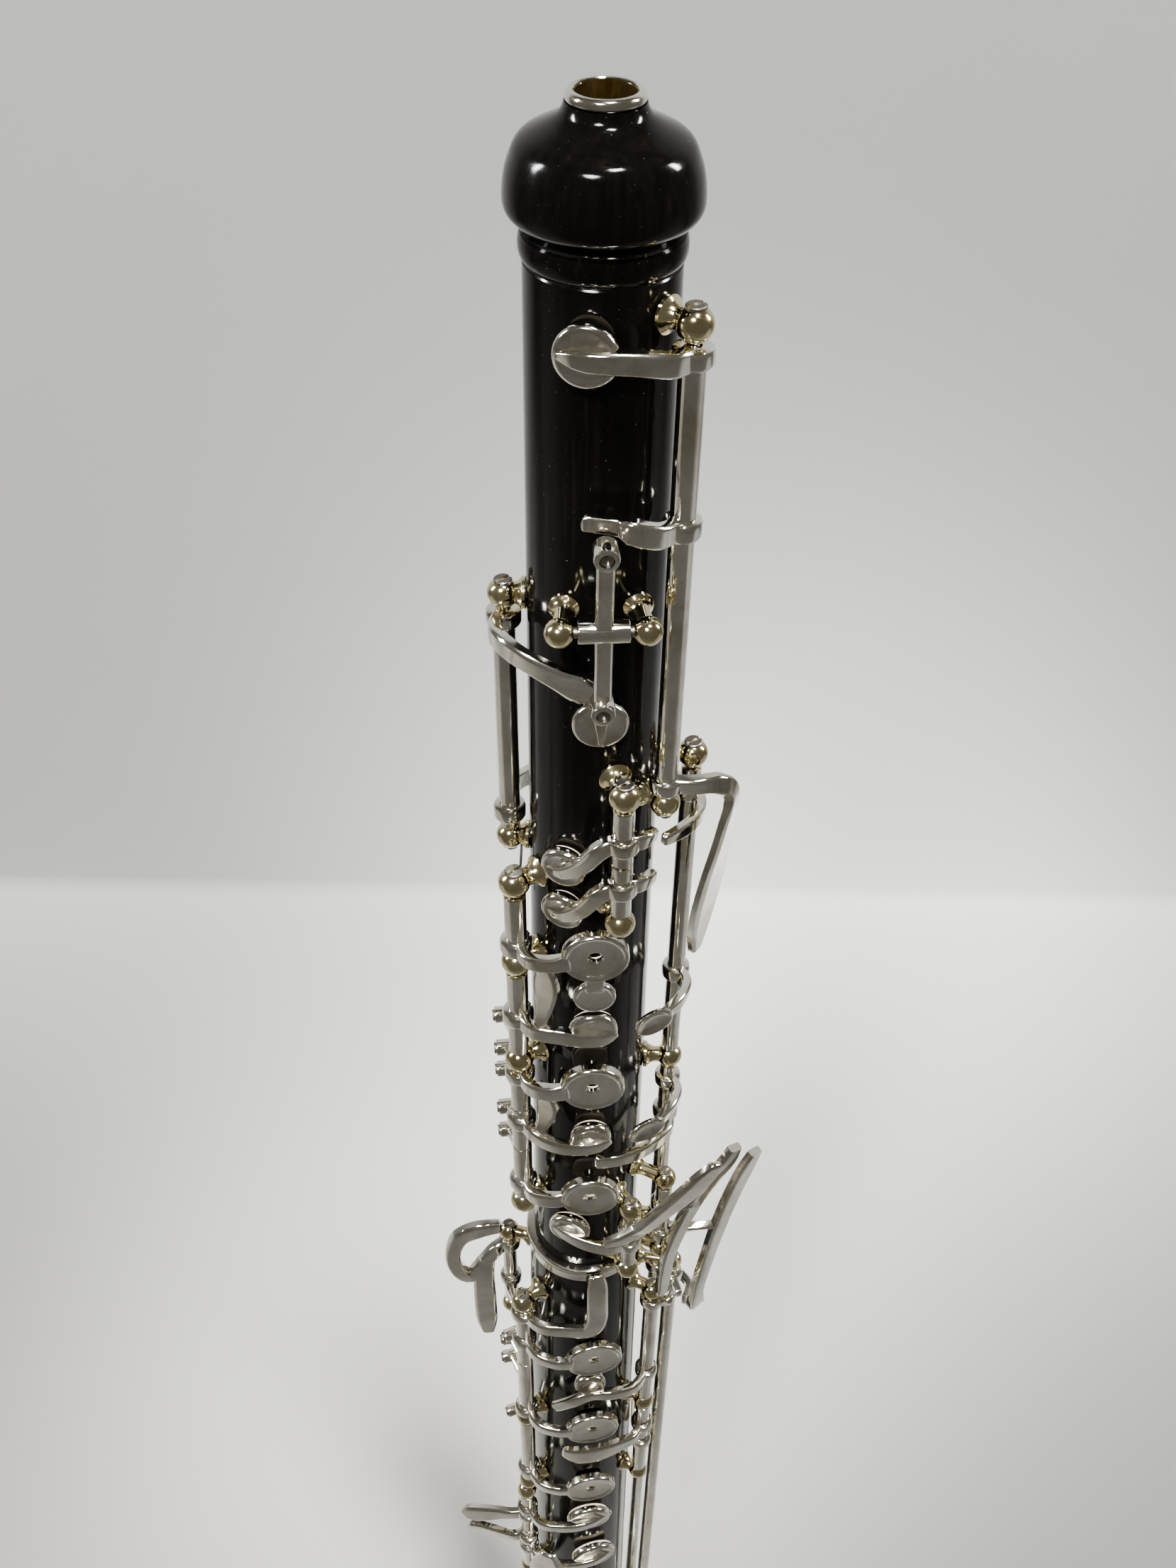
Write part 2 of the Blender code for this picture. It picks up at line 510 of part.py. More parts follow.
def side_trill_key():
    """A hooked key for the left hand, beside the middle joint, with a flat touch hanging below."""
    key = Key("side_trill_key", SIDE_TRILL, 245.2, 271.4)
    key.arm(247.0, (-101, 19.6, 247.6, 3.4, 2.2), (-97, 22.6, 252.0, 3.4, 2.2), (-95, 25.4, 256.0, 3.4, 2.2),
            (-94, 28.0, 253.0, 3.4, 2.2), (-94, 29.0, 246.5, 3.4, 2.2), (-94.5, 27.2, 240.0, 4.0, 2.2),
            (-95, 23.2, 236.8, 4.6, 2.2), (-97, 18.8, 236.2, 3.4, 2.0), facing=0)
    key.bar((-97, 21.6, 250.0, 3.4, 1.5), (-95, 22.4, 256.0, 4.6, 1.5), (-95, 22.5, 266.0, 5.0, 1.4),
            (-95, 22.4, 275.0, 4.8, 1.3), (-95, 22.3, 281.0, 2.8, 1.2), facing=0)
    key.arm(262.0, (-98, 16.9, 262.2, 2.8, 1.7), (-88, 15.6, 262.4, 2.8, 1.6), (-80, 15.2, 262.4, 2.4, 1.5),
            (-66, 14.8, 262.4, 0.8, 0.8))
    key.cup(-81, 262.4, 4.0)
    return key.build()


def lower_plates():
    """The right hand's keys, on the hinge down the front left of the lower joint."""
    front = LOWER_TURN
    first = Key("right_plate_1", LOWER_STACK, 248.6, 272.0)
    first.arm(262.0, (front - 43, 18.2, 262.0, 3.4, 1.9), (front - 29, 17.3, 263.0, 3.6, 1.9),
              (front - 18, 16.6, 263.4, 3.8, 1.2))
    first.plate(front, 263.4, 6.3)
    first.arm(250.4, (front - 43, 17.4, 250.2, 3.4, 1.7), (front - 24, 16.0, 250.0, 3.8, 1.6),
              (front - 5, 15.6, 249.8, 4.2, 1.5), (front + 1, 15.6, 245.5, 4.4, 1.5),
              (front + 1, 15.7, 238.0, 4.4, 1.5), (front + 1, 15.2, 232.0, 4.2, 1.4),
              (front + 1, 14.8, 229.2, 3.0, 1.3))
    first.lug(front - 78, 269.2, 15.6, 19.2)
    second = Key("right_plate_2", LOWER_STACK, 272.4, 297.5)
    second.arm(295.6, (front - 43, 18.2, 295.8, 3.4, 1.9), (front - 29, 17.3, 296.6, 3.6, 1.9),
               (front - 18, 16.6, 297.0, 3.8, 1.2))
    second.plate(front, 297.0, 6.3)
    second.lug(front - 86, 275.4, 15.6, 19.2)
    second.lug(front - 86, 284.0, 15.6, 19.2)
    third = Key("right_plate_3", LOWER_STACK, 302.6, 333.4)
    third.arm(328.4, (front - 43, 18.2, 328.6, 3.4, 1.9), (front - 29, 17.3, 329.4, 3.6, 1.9),
              (front - 18, 16.6, 329.8, 3.8, 1.2))
    third.plate(front, 329.8, 6.2)
    third.lug(front - 80, 308.0, 15.6, 19.2)
    return [key.build() for key in (first, second, third)]


def f_keys():
    """Forked-F vent and F key, whose tubes turn on the right-hand line."""
    front = LOWER_TURN
    vent = Key("forked_f_vent_key", F_LINE, 247.8, 294.4)
    vent.arm(281.5, (front + 34, 17.6, 281.2, 3.2, 1.8), (front + 16, 16.5, 280.2, 3.2, 1.8),
             (front - 2, 15.3, 280.6, 3.2, 1.6), (front - 18, 15.4, 284.0, 3.0, 1.5),
             (front - 32, 15.6, 288.0, 2.4, 1.4))
    vent.cup(front - 2, 277.8, 3.6)
    vent.arm(249.2, (60, 19.6, 249.0, 2.6, 1.6), (60, 21.0, 246.6, 2.8, 1.6))
    f_key = Key("f_key", F_LINE, 299.6, 333.4)
    f_key.arm(309.0, (front + 37, 17.6, 308.8, 3.4, 1.8), (front + 26, 17.1, 308.2, 4.6, 1.7),
              (front + 14, 16.6, 308.6, 6.6, 1.7), (front, 16.4, 309.2, 7.2, 1.7),
              (front - 13, 16.4, 309.4, 6.8, 1.7), (front - 23, 16.2, 309.0, 4.0, 1.5))
    f_key.arm(318.0, (68, 17.8, 318.0, 2.6, 1.7), (84, 15.6, 318.0, 2.4, 1.6), (98, 15.0, 318.0, 0.8, 0.8))
    f_key.cup(84, 318.0, 4.2)
    return [vent.build(), f_key.build()]


def low_keys():
    """Low B on the right of the lower joint, and the long tube that carries low B flat to the bell."""
    low_b = Key("low_b_key", LOW_B, 244.6, 453.4)
    low_b.arm(441.0, (62, 19.8, 440.6, 3.4, 1.9), (42, 18.8, 440.0, 3.4, 1.9), (18, 17.6, 439.6, 3.2, 1.8),
              (-2, 17.2, 439.4, 1.4, 1.2))
    low_b.cup(15, 439.6, 7.0, 1.2)
    low_b.arm(248.0, (72, 20.8, 248.2, 2.8, 1.6), (66, 22.2, 248.4, 2.8, 1.6))
    b_flat = Key("low_b_flat_rod", B_FLAT, 245.6, 457.4)
    b_flat.arm(455.6, (100, 19.8, 456.0, 3.2, 1.8), (90, 22.6, 460.0, 3.2, 1.8), (80, 23.4, 468.0, 3.2, 1.7),
               (77, 23.4, 474.0, 2.6, 1.6))
    b_flat.arm(258.0, (99, 20.8, 258.2, 2.8, 1.6), (89, 23.8, 258.6, 2.8, 1.6), (83, 23.7, 259.0, 3.4, 1.6),
               (79, 23.2, 259.0, 3.4, 1.4))
    return [low_b.build(), b_flat.build()]


def right_little_finger_keys():
    """E flat, C sharp and low C, on the hinge below the right hand's plates."""
    front = LOWER_TURN
    e_flat = Key("e_flat_key", LITTLE_RIGHT, 345.0, 366.0)
    e_flat.arm(352.4, (front - 42, 18.6, 352.2, 3.4, 1.8), (front - 20, 17.0, 351.8, 3.4, 1.8),
               (front, 15.9, 351.6, 3.0, 1.7), (front + 22, 15.2, 351.4, 1.2, 1.0))
    e_flat.cup(front, 351.6, 5.6)
    e_flat.arm(357.0, (-62, 21.0, 357.6, 3.8, 1.9), (-67, 24.0, 358.0, 5.2, 1.8),
               (-71, 27.4, 358.8, 6.8, 1.8),
               (-74, 30.4, 359.8, 6.6, 1.7), (-75.5, 32.2, 361.0, 4.0, 1.5), facing=-25)
    c_sharp = Key("c_sharp_key", LITTLE_RIGHT, 366.4, 389.4)
    c_sharp.arm(378.0, (front - 42, 18.6, 377.8, 3.4, 1.8), (front - 20, 17.0, 377.4, 3.4, 1.8),
                (front + 6, 16.1, 377.0, 3.0, 1.7), (front + 28, 15.4, 376.8, 1.2, 1.0))
    c_sharp.cup(front + 6, 377.0, 6.0)
    c_sharp.arm(371.4, (-62, 20.8, 372.4, 3.8, 1.9), (-67, 23.8, 371.2, 5.0, 1.8),
                (-71, 27.0, 369.8, 6.4, 1.8),
                (-74, 29.8, 368.8, 6.0, 1.7), (-75, 31.0, 368.4, 3.8, 1.5), facing=-25)
    low_c = Key("low_c_key", LITTLE_RIGHT, 394.6, 444.4)
    low_c.arm(407.0, (front - 42, 18.8, 406.8, 3.4, 1.9), (front - 20, 18.1, 406.4, 3.4, 1.9),
              (front, 17.4, 406.0, 3.2, 1.8), (front + 25, 16.7, 405.8, 1.2, 1.0))
    low_c.cup(front, 406.0, 6.6, 1.2)
    low_c.arm(398.0, (-38, 20.8, 396.4, 3.6, 1.8), (-30, 21.4, 390.0, 5.0, 1.8),
              (-27, 21.6, 381.0, 9.0, 1.8),
              (-26, 21.6, 371.0, 10.0, 1.8), (-26, 21.4, 362.0, 4.0, 1.6))
    return [e_flat.build(), c_sharp.build(), low_c.build()]


def bell_key():
    key = Key("bell_b_flat_key", BELL_LINE, 494.8, 531.2)
    key.arm(519.0, (54, 24.4, 519.4, 3.4, 2.0), (32, 23.8, 519.8, 3.4, 2.0), (8, 21.9, 520.0, 3.2, 1.9),
            (-16, 21.1, 520.0, 1.4, 1.2))
    key.cup(5, 520.0, 7.4, 1.7)
    key.arm(499.0, (77, 25.8, 498.0, 3.4, 1.8), (78, 26.4, 488.0, 3.4, 1.8), (78, 26.2, 473.0, 5.0, 1.7),
            (78, 26.0, 466.0, 3.0, 1.6))
    return key.build()


# ---- body of the instrument -------------------------------------------------------------------------------
def turned(name, slot, outside, inside, cutters=()):
    """A hollow piece turned on the bore's axis; (depth, radius) lists go down its outside and its inside."""
    profile = [(radius, -depth) for depth, radius in outside + inside[::-1]]
    body = lathe(profile, Vector((0, 0, LENGTH)), Vector((0, 0, 1)), ROUND_WOOD, looped=True)
    return finish(fuse([body], cutters), name, slot)


def hole(azimuth, depth, radius):
    """Cutter for a tone hole, from outside the wood into the bore."""
    return rod(polar(azimuth, 1.0, depth), polar(azimuth, HOLE_DEPTH + 2, depth), radius, ROUND_POST)


def body():
    front = LOWER_TURN
    upper_holes = [(-12.7, 26.2, 0.8), (0.3, 82.0, 0.8), (-25, 111.8, 1.6), (-26, 121.7, 1.6),
                   (0, 130.3, 1.8),
                   (0, 150.9, 1.9), (0, 165.3, 2.2), (0, 182.4, 1.9), (0, 200.2, 2.4), (-18, 214.6, 2.2)]
    lower_holes = [(-81, 262.4, 2.0), (front, 263.4, 3.0), (front - 2, 277.8, 2.0), (front, 297.0, 3.2),
                   (84, 318.0, 2.6), (front, 329.8, 3.2), (front, 351.6, 3.2), (front + 6, 377.0, 4.0),
                   (front, 406.0, 4.6), (15, 439.6, 5.0)]
    tenon = [(MIDDLE - GAP, 9.0), (251.5, 9.0)]
    well = [(1.6, 4.78), (20.4, 4.15), (20.6, 2.4)]
    turned("upper_joint", "grenadilla", FINIAL + UPPER_BODY + tenon, well + [(251.5, 4.6)],
           [hole(*place) for place in upper_holes])
    bell_tenon = [(BELL_TOP - GAP, 11.3), (485.6, 11.3)]
    turned("lower_joint", "grenadilla", LOWER_BODY[2:] + bell_tenon,
           [(235.5, 10.3), (252.2, 10.3), (252.2, 4.6), (485.6, 8.0)],
           [hole(*place) for place in lower_holes])
    turned("bell", "grenadilla", BELL_BODY[2:], [(479.0, 12.6), (486.2, 12.6), (486.2, 8.2)] + BELL_BORE,
           [hole(5, 520.0, 5.6)])


def rings():
    turned("reed_socket", "silver", [(0.0, 4.3), (0.25, 4.62), (0.6, 4.65), (1.3, 4.6), (1.3, 4.5),
                                     (19.8, 3.8)],
           [(0.0, 3.62), (12.0, 3.3), (19.8, 2.7)])
    turned("middle_ring", "silver", [(MIDDLE, 12.0), (MIDDLE + 0.5, 12.4), (234.7, 12.4), (235.2, 12.0)],
           [(MIDDLE, 10.4), (235.2, 10.4)])
    turned("bell_ring", "silver", [(BELL_TOP, 15.8), (BELL_TOP + 0.6, 16.4), (477.8, 16.4), (478.7, 15.8)],
           [(BELL_TOP, 12.7), (478.7, 12.7)])
    turned("middle_tenon_cork", "cork", [(234.0, 9.6), (234.6, 9.95), (248.4, 9.95), (249.0, 9.6)],
           [(234.0, 9.3), (249.0, 9.3)])
    turned("bell_tenon_cork", "cork", [(472.6, 12.0), (473.2, 12.3), (482.8, 12.3), (483.4, 12.0)],
           [(472.6, 11.6), (483.4, 11.6)])


def thumb_rest():
    """Plate on the back of the lower joint, with the hooked shelf that the right thumb carries."""
    plate = bar([(180, 13.2, 256.0, 4.0, 1.2), (180, 13.2, 260.0, 9.0, 1.4), (180, 13.3, 274.0, 9.0, 1.4),
                 (180, 13.3, 279.0, 4.0, 1.2)])
    shelf = bar([(180, 13.4, 262.0, 8.0, 1.6), (180, 17.5, 262.6, 9.5, 1.8), (180, 22.0, 265.0, 10.0, 1.8),
                 (180, 25.0, 270.0, 9.0, 1.7)])
    finish(fuse([plate, shelf]), "thumb_rest", "silver")


def main():
    for thing in list(bpy.data.objects):
        bpy.data.objects.remove(thing)
    body()
    rings()
    thumb_rest()
    lines = {
        "side_octave_posts": SIDE_OCTAVE, "thumb_octave_posts": THUMB_OCTAVE, "trill_posts": TRILL,
        "upper_stack_posts": UPPER_STACK, "side_lever_posts": SIDE_LEVERS, "g_sharp_posts": G_SHARP,
        "left_little_finger_posts": LITTLE_LEFT, "side_trill_posts": SIDE_TRILL,
        "lower_stack_posts": LOWER_STACK, "f_key_posts": F_LINE, "low_b_posts": LOW_B,
        "b_flat_rod_posts": B_FLAT, "right_little_finger_posts": LITTLE_RIGHT, "bell_key_posts": BELL_LINE,
    }
    for name, line in lines.items():
        line.build(name)
    rocker_posts()
    octave_rocker()
    for make in (side_octave_key, thumb_octave_key, trill_keys, upper_plates, side_levers,
                 left_little_finger_keys, side_trill_key, lower_plates, f_keys, low_keys,
                 right_little_finger_keys, bell_key):
        make()


main()
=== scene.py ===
"""The looks of an oboe of the conservatoire system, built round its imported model.

The frame is in metres with +Z up, and its origin is the middle of the bell's rim. Lengths here are in
millimetres, and turn into metres when a mesh is made. Most places are given the way a maker marks a bore:
azimuth (degrees from the front, which is -Y, towards +X), distance from the bore's axis, and depth below the
reed socket's lip.
"""

from math import cos, pi, radians, sin, sqrt

import bmesh
import bpy
from mathutils import Matrix, Vector


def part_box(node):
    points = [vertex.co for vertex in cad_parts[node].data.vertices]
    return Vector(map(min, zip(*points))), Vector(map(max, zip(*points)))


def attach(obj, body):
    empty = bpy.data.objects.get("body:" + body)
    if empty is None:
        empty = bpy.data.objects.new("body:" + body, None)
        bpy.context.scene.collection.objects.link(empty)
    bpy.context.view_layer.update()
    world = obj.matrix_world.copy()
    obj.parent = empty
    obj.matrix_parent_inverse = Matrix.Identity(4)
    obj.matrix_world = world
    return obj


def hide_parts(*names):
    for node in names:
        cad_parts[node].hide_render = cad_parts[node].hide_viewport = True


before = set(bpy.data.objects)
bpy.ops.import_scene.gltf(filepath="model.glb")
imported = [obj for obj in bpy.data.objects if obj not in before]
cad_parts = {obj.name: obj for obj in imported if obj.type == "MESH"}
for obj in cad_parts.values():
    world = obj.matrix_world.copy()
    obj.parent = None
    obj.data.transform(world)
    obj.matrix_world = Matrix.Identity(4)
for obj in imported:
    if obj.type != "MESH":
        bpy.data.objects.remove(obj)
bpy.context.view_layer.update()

# ---- driving dimensions ----------------------------------------------------------------------------------
MM = 0.001
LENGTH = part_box("reed_socket")[1][2] / MM  # reed socket lip to bell rim
MIDDLE = 231.0  # depth where the upper joint meets the lower joint
BELL_TOP = 470.0  # depth where the lower joint meets the bell
GAP = 0.3  # clearance between separate pieces
LOWER_TURN = 5.9  # the lower joint's front stands this many degrees round from the upper joint's

TUBE = 1.6  # radius of a hinge tube
STEEL = 0.75  # radius of the hinge steel inside it
BORE = 1.05  # radius of the tube's bore
COLLAR = 0.9  # how much thicker than its tube is the collar that an arm grows from
COLLAR_LENGTH = 2.8
BARREL = 1.5  # radius of an adjusting screw's barrel
SPRING = 0.22  # radius of a needle spring

CUP_TOP = 2.4  # height of a closed cup above the wood's clearance
PLATE_TOP = 2.4  # the same for a finger plate
PLATE_WALL = 0.7  # thickness of a finger plate's rim
PLATE_HOLE = 1.1  # radius of the hole in its middle
PAD = 0.75  # what shows of a pad below its cup
OPEN_LIFT = 1.4  # a finger plate stands this far off its hole
DISC_BASE = 12.7  # distance from the axis of a flat round touch
THINNEST = 0.5  # a bar is never narrower or thinner than this
WELD = 0.002  # points this close are one
SHARP = 32  # degrees between faces that show as an edge

ROUND_WOOD = 144
ROUND_CUP = 48
ROUND_POST = 28
ROUND_TUBE = 26
HALF_MOON = 12
STEP = 0.8  # length of one facet along a bent bar

# (depth, radius) down the outside
FINIAL = [(1.3, 4.75), (2.0, 5.0), (2.7, 5.5), (3.4, 6.6), (4.2, 8.2), (5.0, 9.65), (5.9, 10.5), (7.0, 11.0),
          (8.4, 11.5), (10.0, 11.82), (11.6, 11.95), (12.6, 11.85), (13.3, 11.5), (14.0, 10.8),
          (14.6, 10.25), (15.2, 9.85), (15.75, 9.7)]
BEAD = [(15.8, 9.95), (16.3, 10.16), (17.1, 10.25), (17.9, 10.2), (18.5, 10.0), (18.75, 9.72), (18.95, 9.6),
        (19.1, 9.6), (19.3, 9.74)]
UPPER_BODY = [(21.0, 9.75), (136.0, 10.18), (MIDDLE - GAP, 10.7)]
LOWER_BODY = [(MIDDLE, 12.4), (235.2, 12.4), (235.5, 11.75), (321.0, 12.38), (BELL_TOP - GAP, 13.4)]
BELL_BODY = [(BELL_TOP, 16.6), (478.0, 16.6), (481.0, 15.6), (505.0, 15.9), (535.0, 18.2), (560.0, 22.3),
             (578.0, 26.4), (588.0, 28.3), (593.0, 28.5), (596.0, 27.8), (LENGTH, 26.6)]


# ---- places -----------------------------------------------------------------------------------------------
def outward(azimuth):
    return Vector((sin(radians(azimuth)), -cos(radians(azimuth)), 0))


def polar(azimuth, distance, depth):
    return outward(azimuth) * distance + Vector((0, 0, LENGTH - depth))


def surface(depth):
    """Radius of the wood at a depth."""
    outline = UPPER_BODY if depth < MIDDLE else LOWER_BODY if depth < BELL_TOP else BELL_BODY
    for (above, wide), (below, wider) in zip(outline, outline[1:]):
        if depth <= below:
            return wide + (wider - wide) * (depth - above) / (below - above)
    return outline[-1][1]


def flowing(points, step):
    """A smooth curve through points of any dimension, with a sample about every step of its first three."""
    points = [Vector(point) for point in points]
    samples = []
    last = len(points) - 1
    for i in range(last):
        before, start, end, after = points[max(i - 1, 0)], points[i], points[i + 1], points[min(i + 2, last)]
        count = max(2, int((Vector(end[:3]) - Vector(start[:3])).length / step))
        for j in range(count):
            t = j / count
            bend, twist = 2 * before - 5 * start + 4 * end - after, 3 * start - before - 3 * end + after
            samples.append(0.5 * (2 * start + (end - before) * t + bend * t * t + twist * t ** 3))
    return samples + [points[-1]]


# ---- solids -----------------------------------------------------------------------------------------------
def solid(rings, looped=False):
    """A closed mesh object, still in millimetres, through rings of points; one point makes a pole."""
    shape = bmesh.new()
    rows = [[shape.verts.new(point) for point in ring] for ring in rings]
    for lower, upper in zip(rows, rows[1:] + rows[:1] if looped else rows[1:]):
        count = max(len(lower), len(upper))
        for i in range(count):
            j = (i + 1) % count
            corners = [lower[i % len(lower)], lower[j % len(lower)],
                       upper[j % len(upper)], upper[i % len(upper)]]
            shape.faces.new(dict.fromkeys(corners))
    if not looped:
        for row in (rows[0], rows[-1]):
            if len(row) > 2:
                shape.faces.new(row)
    bmesh.ops.recalc_face_normals(shape, faces=shape.faces)
    bmesh.ops.triangulate(shape, faces=shape.faces)
    mesh = bpy.data.meshes.new("solid")
    shape.to_mesh(mesh)
    shape.free()
    thing = bpy.data.objects.new("solid", mesh)
    bpy.context.collection.objects.link(thing)
    return thing


def lathe(profile, base, axis, segments, looped=False):
    """A solid turned about a line, from a (radius, height) profile."""
    turn = axis.to_track_quat("Z", "X").to_matrix()
    rings = []
    for radius, height in profile:
        steps = segments if radius else 1
        angles = [2 * pi * i / steps for i in range(steps)]
        rings.append([base + turn @ Vector((radius * cos(a), radius * sin(a), height)) for a in angles])
    return solid(rings, looped)


def rod(start, end, radius, segments=ROUND_TUBE, edge=0.18):
    """A round bar with broken edges."""
    length = (end - start).length
    edge = min(edge, radius / 3, length / 3)
    profile = [(radius - edge, 0), (radius - edge * 0.3, edge * 0.3), (radius, edge),
               (radius, length - edge), (radius - edge * 0.3, length - edge * 0.3), (radius - edge, length)]
    return lathe([(0, 0)] + profile + [(0, length)], start, end - start, segments)


def upright(azimuth, distance, top, bottom, radius):
    """A round bar along the body, between two depths."""
    return rod(polar(azimuth, distance, bottom), polar(azimuth, distance, top), radius)


# points round a bar, in widths across and thicknesses outwards
BAR_SECTION = [(-0.5, -0.4), (-0.44, -0.5), (0.44, -0.5), (0.5, -0.4), (0.5, 0.22), (0.475, 0.3),
               (0.39, 0.46), (0.33, 0.5), (-0.33, 0.5), (-0.39, 0.46), (-0.475, 0.3), (-0.5, 0.22)]
# (reach, size) of the rings that round a bar's end off
TIP = [(0.25, 0.97), (0.6, 0.8), (0.86, 0.5), (0.98, 0.2)]


def bar(stations, facing=None):
    """A forged bar with a flat underside and a flat face with bevelled edges, rounded off at its far end.

    Its face looks away from the body, or towards the azimuth that is given.

    A station is (azimuth, distance, depth, width, thickness).
    """
    samples = flowing([(*polar(*station[:3]), *station[3:]) for station in stations], STEP)
    path = [Vector(sample[:3]) for sample in samples]
    last = len(path) - 1
    rings = []
    for i, (point, sample) in enumerate(zip(path, samples)):
        width, thickness = max(sample[3], THINNEST), max(sample[4], THINNEST)
        along = (path[min(i + 1, last)] - path[max(i - 1, 0)]).normalized()
        face = Vector((point.x, point.y, 0)).normalized() if facing is None else outward(facing)
        face = (face - along * face.dot(along)).normalized()
        side = along.cross(face)
        sizes = [(0, 1)]
        if i == last:
            sizes += [(reach * min(width, thickness) / 2, size) for reach, size in TIP]
        for reach, size in sizes:
            rings.append([point + along * reach + side * x * width * size + face * y * thickness * size
                          for x, y in BAR_SECTION])
    return solid(rings)


def post(base, ball, radius):
    """A turned post: flange on the wood, trumpet-shaped neck, ball."""
    reach = (ball - base).length
    neck, foot = 0.6 * radius, 0.98 * radius
    profile = [(0, -GAP), (foot, -GAP), (radius * 1.04, -GAP + 0.12), (radius * 1.04, 0.25), (foot, 0.42)]
    for t in (0.15, 0.35, 0.6, 0.8, 1.0):
        profile.append((foot + (neck - foot) * sqrt(t), 0.5 + 1.2 * t))
    for turn in range(-52, 90, 8):
        profile.append((radius * cos(radians(turn)), reach + radius * sin(radians(turn))))
    profile.append((0, reach + radius))
    return lathe(profile, base, ball - base, ROUND_POST)


def slotted(base, axis, radius, height, turn=35):
    """A screw head with its slot: a disc with two half-moons on it."""
    frame_of = axis.to_track_quat("Z", "X").to_matrix() @ Matrix.Rotation(radians(turn), 3, "Z")
    slot_half, floor = radius * 0.2, height * 0.35
    halves = [lathe([(0, 0), (radius, 0), (radius, floor), (0, floor)], base, axis, ROUND_POST)]
    reach = sqrt(radius ** 2 - slot_half ** 2)
    for side in (-1, 1):
        edge = [(-reach, slot_half)]
        for i in range(1, HALF_MOON):
            turned_by = pi * i / HALF_MOON
            edge.append((-reach * cos(turned_by), slot_half + (radius - slot_half) * sin(turned_by)))
        edge.append((reach, slot_half))
        rings = [[base + frame_of @ Vector((x * size, side * (slot_half + (y - slot_half) * size), level))
                  for x, y in edge] for level, size in ((floor * 0.5, 1), (height - 0.1, 1), (height, 0.88))]
        halves.append(solid(rings))
    return halves


def cup(azimuth, depth, radius, lift):
    """A closed key's pad cup: turned wall, rolled edge and a flat face a little lower than the edge."""
    base = polar(azimuth, surface(depth) + GAP + lift, depth)
    profile = [(0, PAD - 0.1), (radius - 0.3, PAD - 0.1), (radius - 0.06, PAD), (radius, PAD + 0.12),
               (radius, CUP_TOP - 0.7), (radius - 0.1, CUP_TOP - 0.35), (radius - 0.34, CUP_TOP - 0.1),
               (radius - 0.62, CUP_TOP), (radius - 0.9, CUP_TOP - 0.02), (radius - 1.15, CUP_TOP - 0.12),
               (radius * 0.5, CUP_TOP - 0.1), (0, CUP_TOP - 0.08)]
    return lathe(profile, base, outward(azimuth), ROUND_CUP)


def pad(azimuth, depth, radius, lift):
    """A skinned felt pad that swells a little out of its cup."""
    base = polar(azimuth, surface(depth) + GAP + lift, depth)
    profile = [(0, 0.06), (radius - 1.5, 0.0), (radius - 0.9, 0.02), (radius - 0.5, 0.14),
               (radius - 0.34, 0.36), (radius - 0.36, PAD), (radius - 0.6, PAD + 0.15), (0, PAD + 0.15)]
    return lathe(profile, base, outward(azimuth), ROUND_CUP)


def plate(azimuth, depth, radius):
    """A perforated finger plate: flat face inside a thin rolled rim, chamfered hole."""
    base = polar(azimuth, surface(depth) + GAP + OPEN_LIFT, depth)
    hole, top = PLATE_HOLE, PLATE_TOP
    profile = [(hole, 1.0), (hole, top - 0.75), (hole + 0.25, top - 0.5), (hole + 0.7, top - 0.44),
               (radius - 1.3, top - 0.38), (radius - 0.95, top - 0.28), (radius - 0.72, top - 0.06),
               (radius - 0.5, top), (radius - 0.25, top - 0.06), (radius - 0.06, top - 0.26),
               (radius, top - 0.5), (radius, 0.6), (radius - 0.12, 0.45), (radius - PLATE_WALL, 0.45),
               (radius - PLATE_WALL, 1.0)]
    return lathe(profile, base, outward(azimuth), ROUND_CUP, looped=True)


def plate_pad(azimuth, depth, radius):
    """The ring of skinned felt inside a finger plate's rim."""
    base = polar(azimuth, surface(depth) + GAP + OPEN_LIFT, depth)
    hole, wall, top = 1.6, radius - PLATE_WALL - GAP, 0.7
    profile = [(hole, 0.2), (1.9, 0.02), (wall - 0.5, 0.0), (wall - 0.1, 0.15), (wall, 0.35), (wall, top),
               (hole, top)]
    return lathe(profile, base, outward(azimuth), ROUND_CUP, looped=True)


def spoon(azimuth, distance, depth, length, width, tilt, facing):
    """An oval touch with a raised, rounded rim.

    It faces an azimuth, and tilt turns its length from the bore's line.
    """
    centre = polar(azimuth, distance, depth)
    face = outward(facing)
    along = Matrix.Rotation(radians(tilt), 3, face) @ Vector((0, 0, -1))
    side = along.cross(face)
    profile = [(0, -0.55), (0.8, -0.5), (0.97, -0.2), (1.0, 0.15), (0.97, 0.45), (0.88, 0.6), (0.76, 0.5),
               (0.62, 0.16), (0.4, 0.02), (0, 0)]
    rings = []
    for size, height in profile:
        turns = [2 * pi * i / ROUND_CUP for i in range(ROUND_CUP if size else 1)]
        rings.append([centre + along * (length / 2 * size * cos(t)) + side * (width / 2 * size * sin(t))
                      + face * height for t in turns])
    return solid(rings)


def fuse(solids, cutters):
    """One body from overlapping solids, less its cutters."""
    body = solids[0]
    groups = []
    for operation, tools in (("UNION", solids[1:]), ("DIFFERENCE", cutters)):
        if tools:
            group = bpy.data.collections.new(operation)
            for tool in tools:
                group.objects.link(tool)
            step = body.modifiers.new(operation, "BOOLEAN")
            step.operation = operation
            step.solver = "MANIFOLD"
            step.operand_type = "COLLECTION"
            step.collection = group
            groups.append(group)
    view = bpy.context.evaluated_depsgraph_get()
    mesh = bpy.data.meshes.new_from_object(body.evaluated_get(view))
    body.modifiers.clear()
    body.data = mesh
    for tool in [*solids[1:], *cutters]:
        bpy.data.objects.remove(tool)
    for group in groups:
        bpy.data.collections.remove(group)
    return body


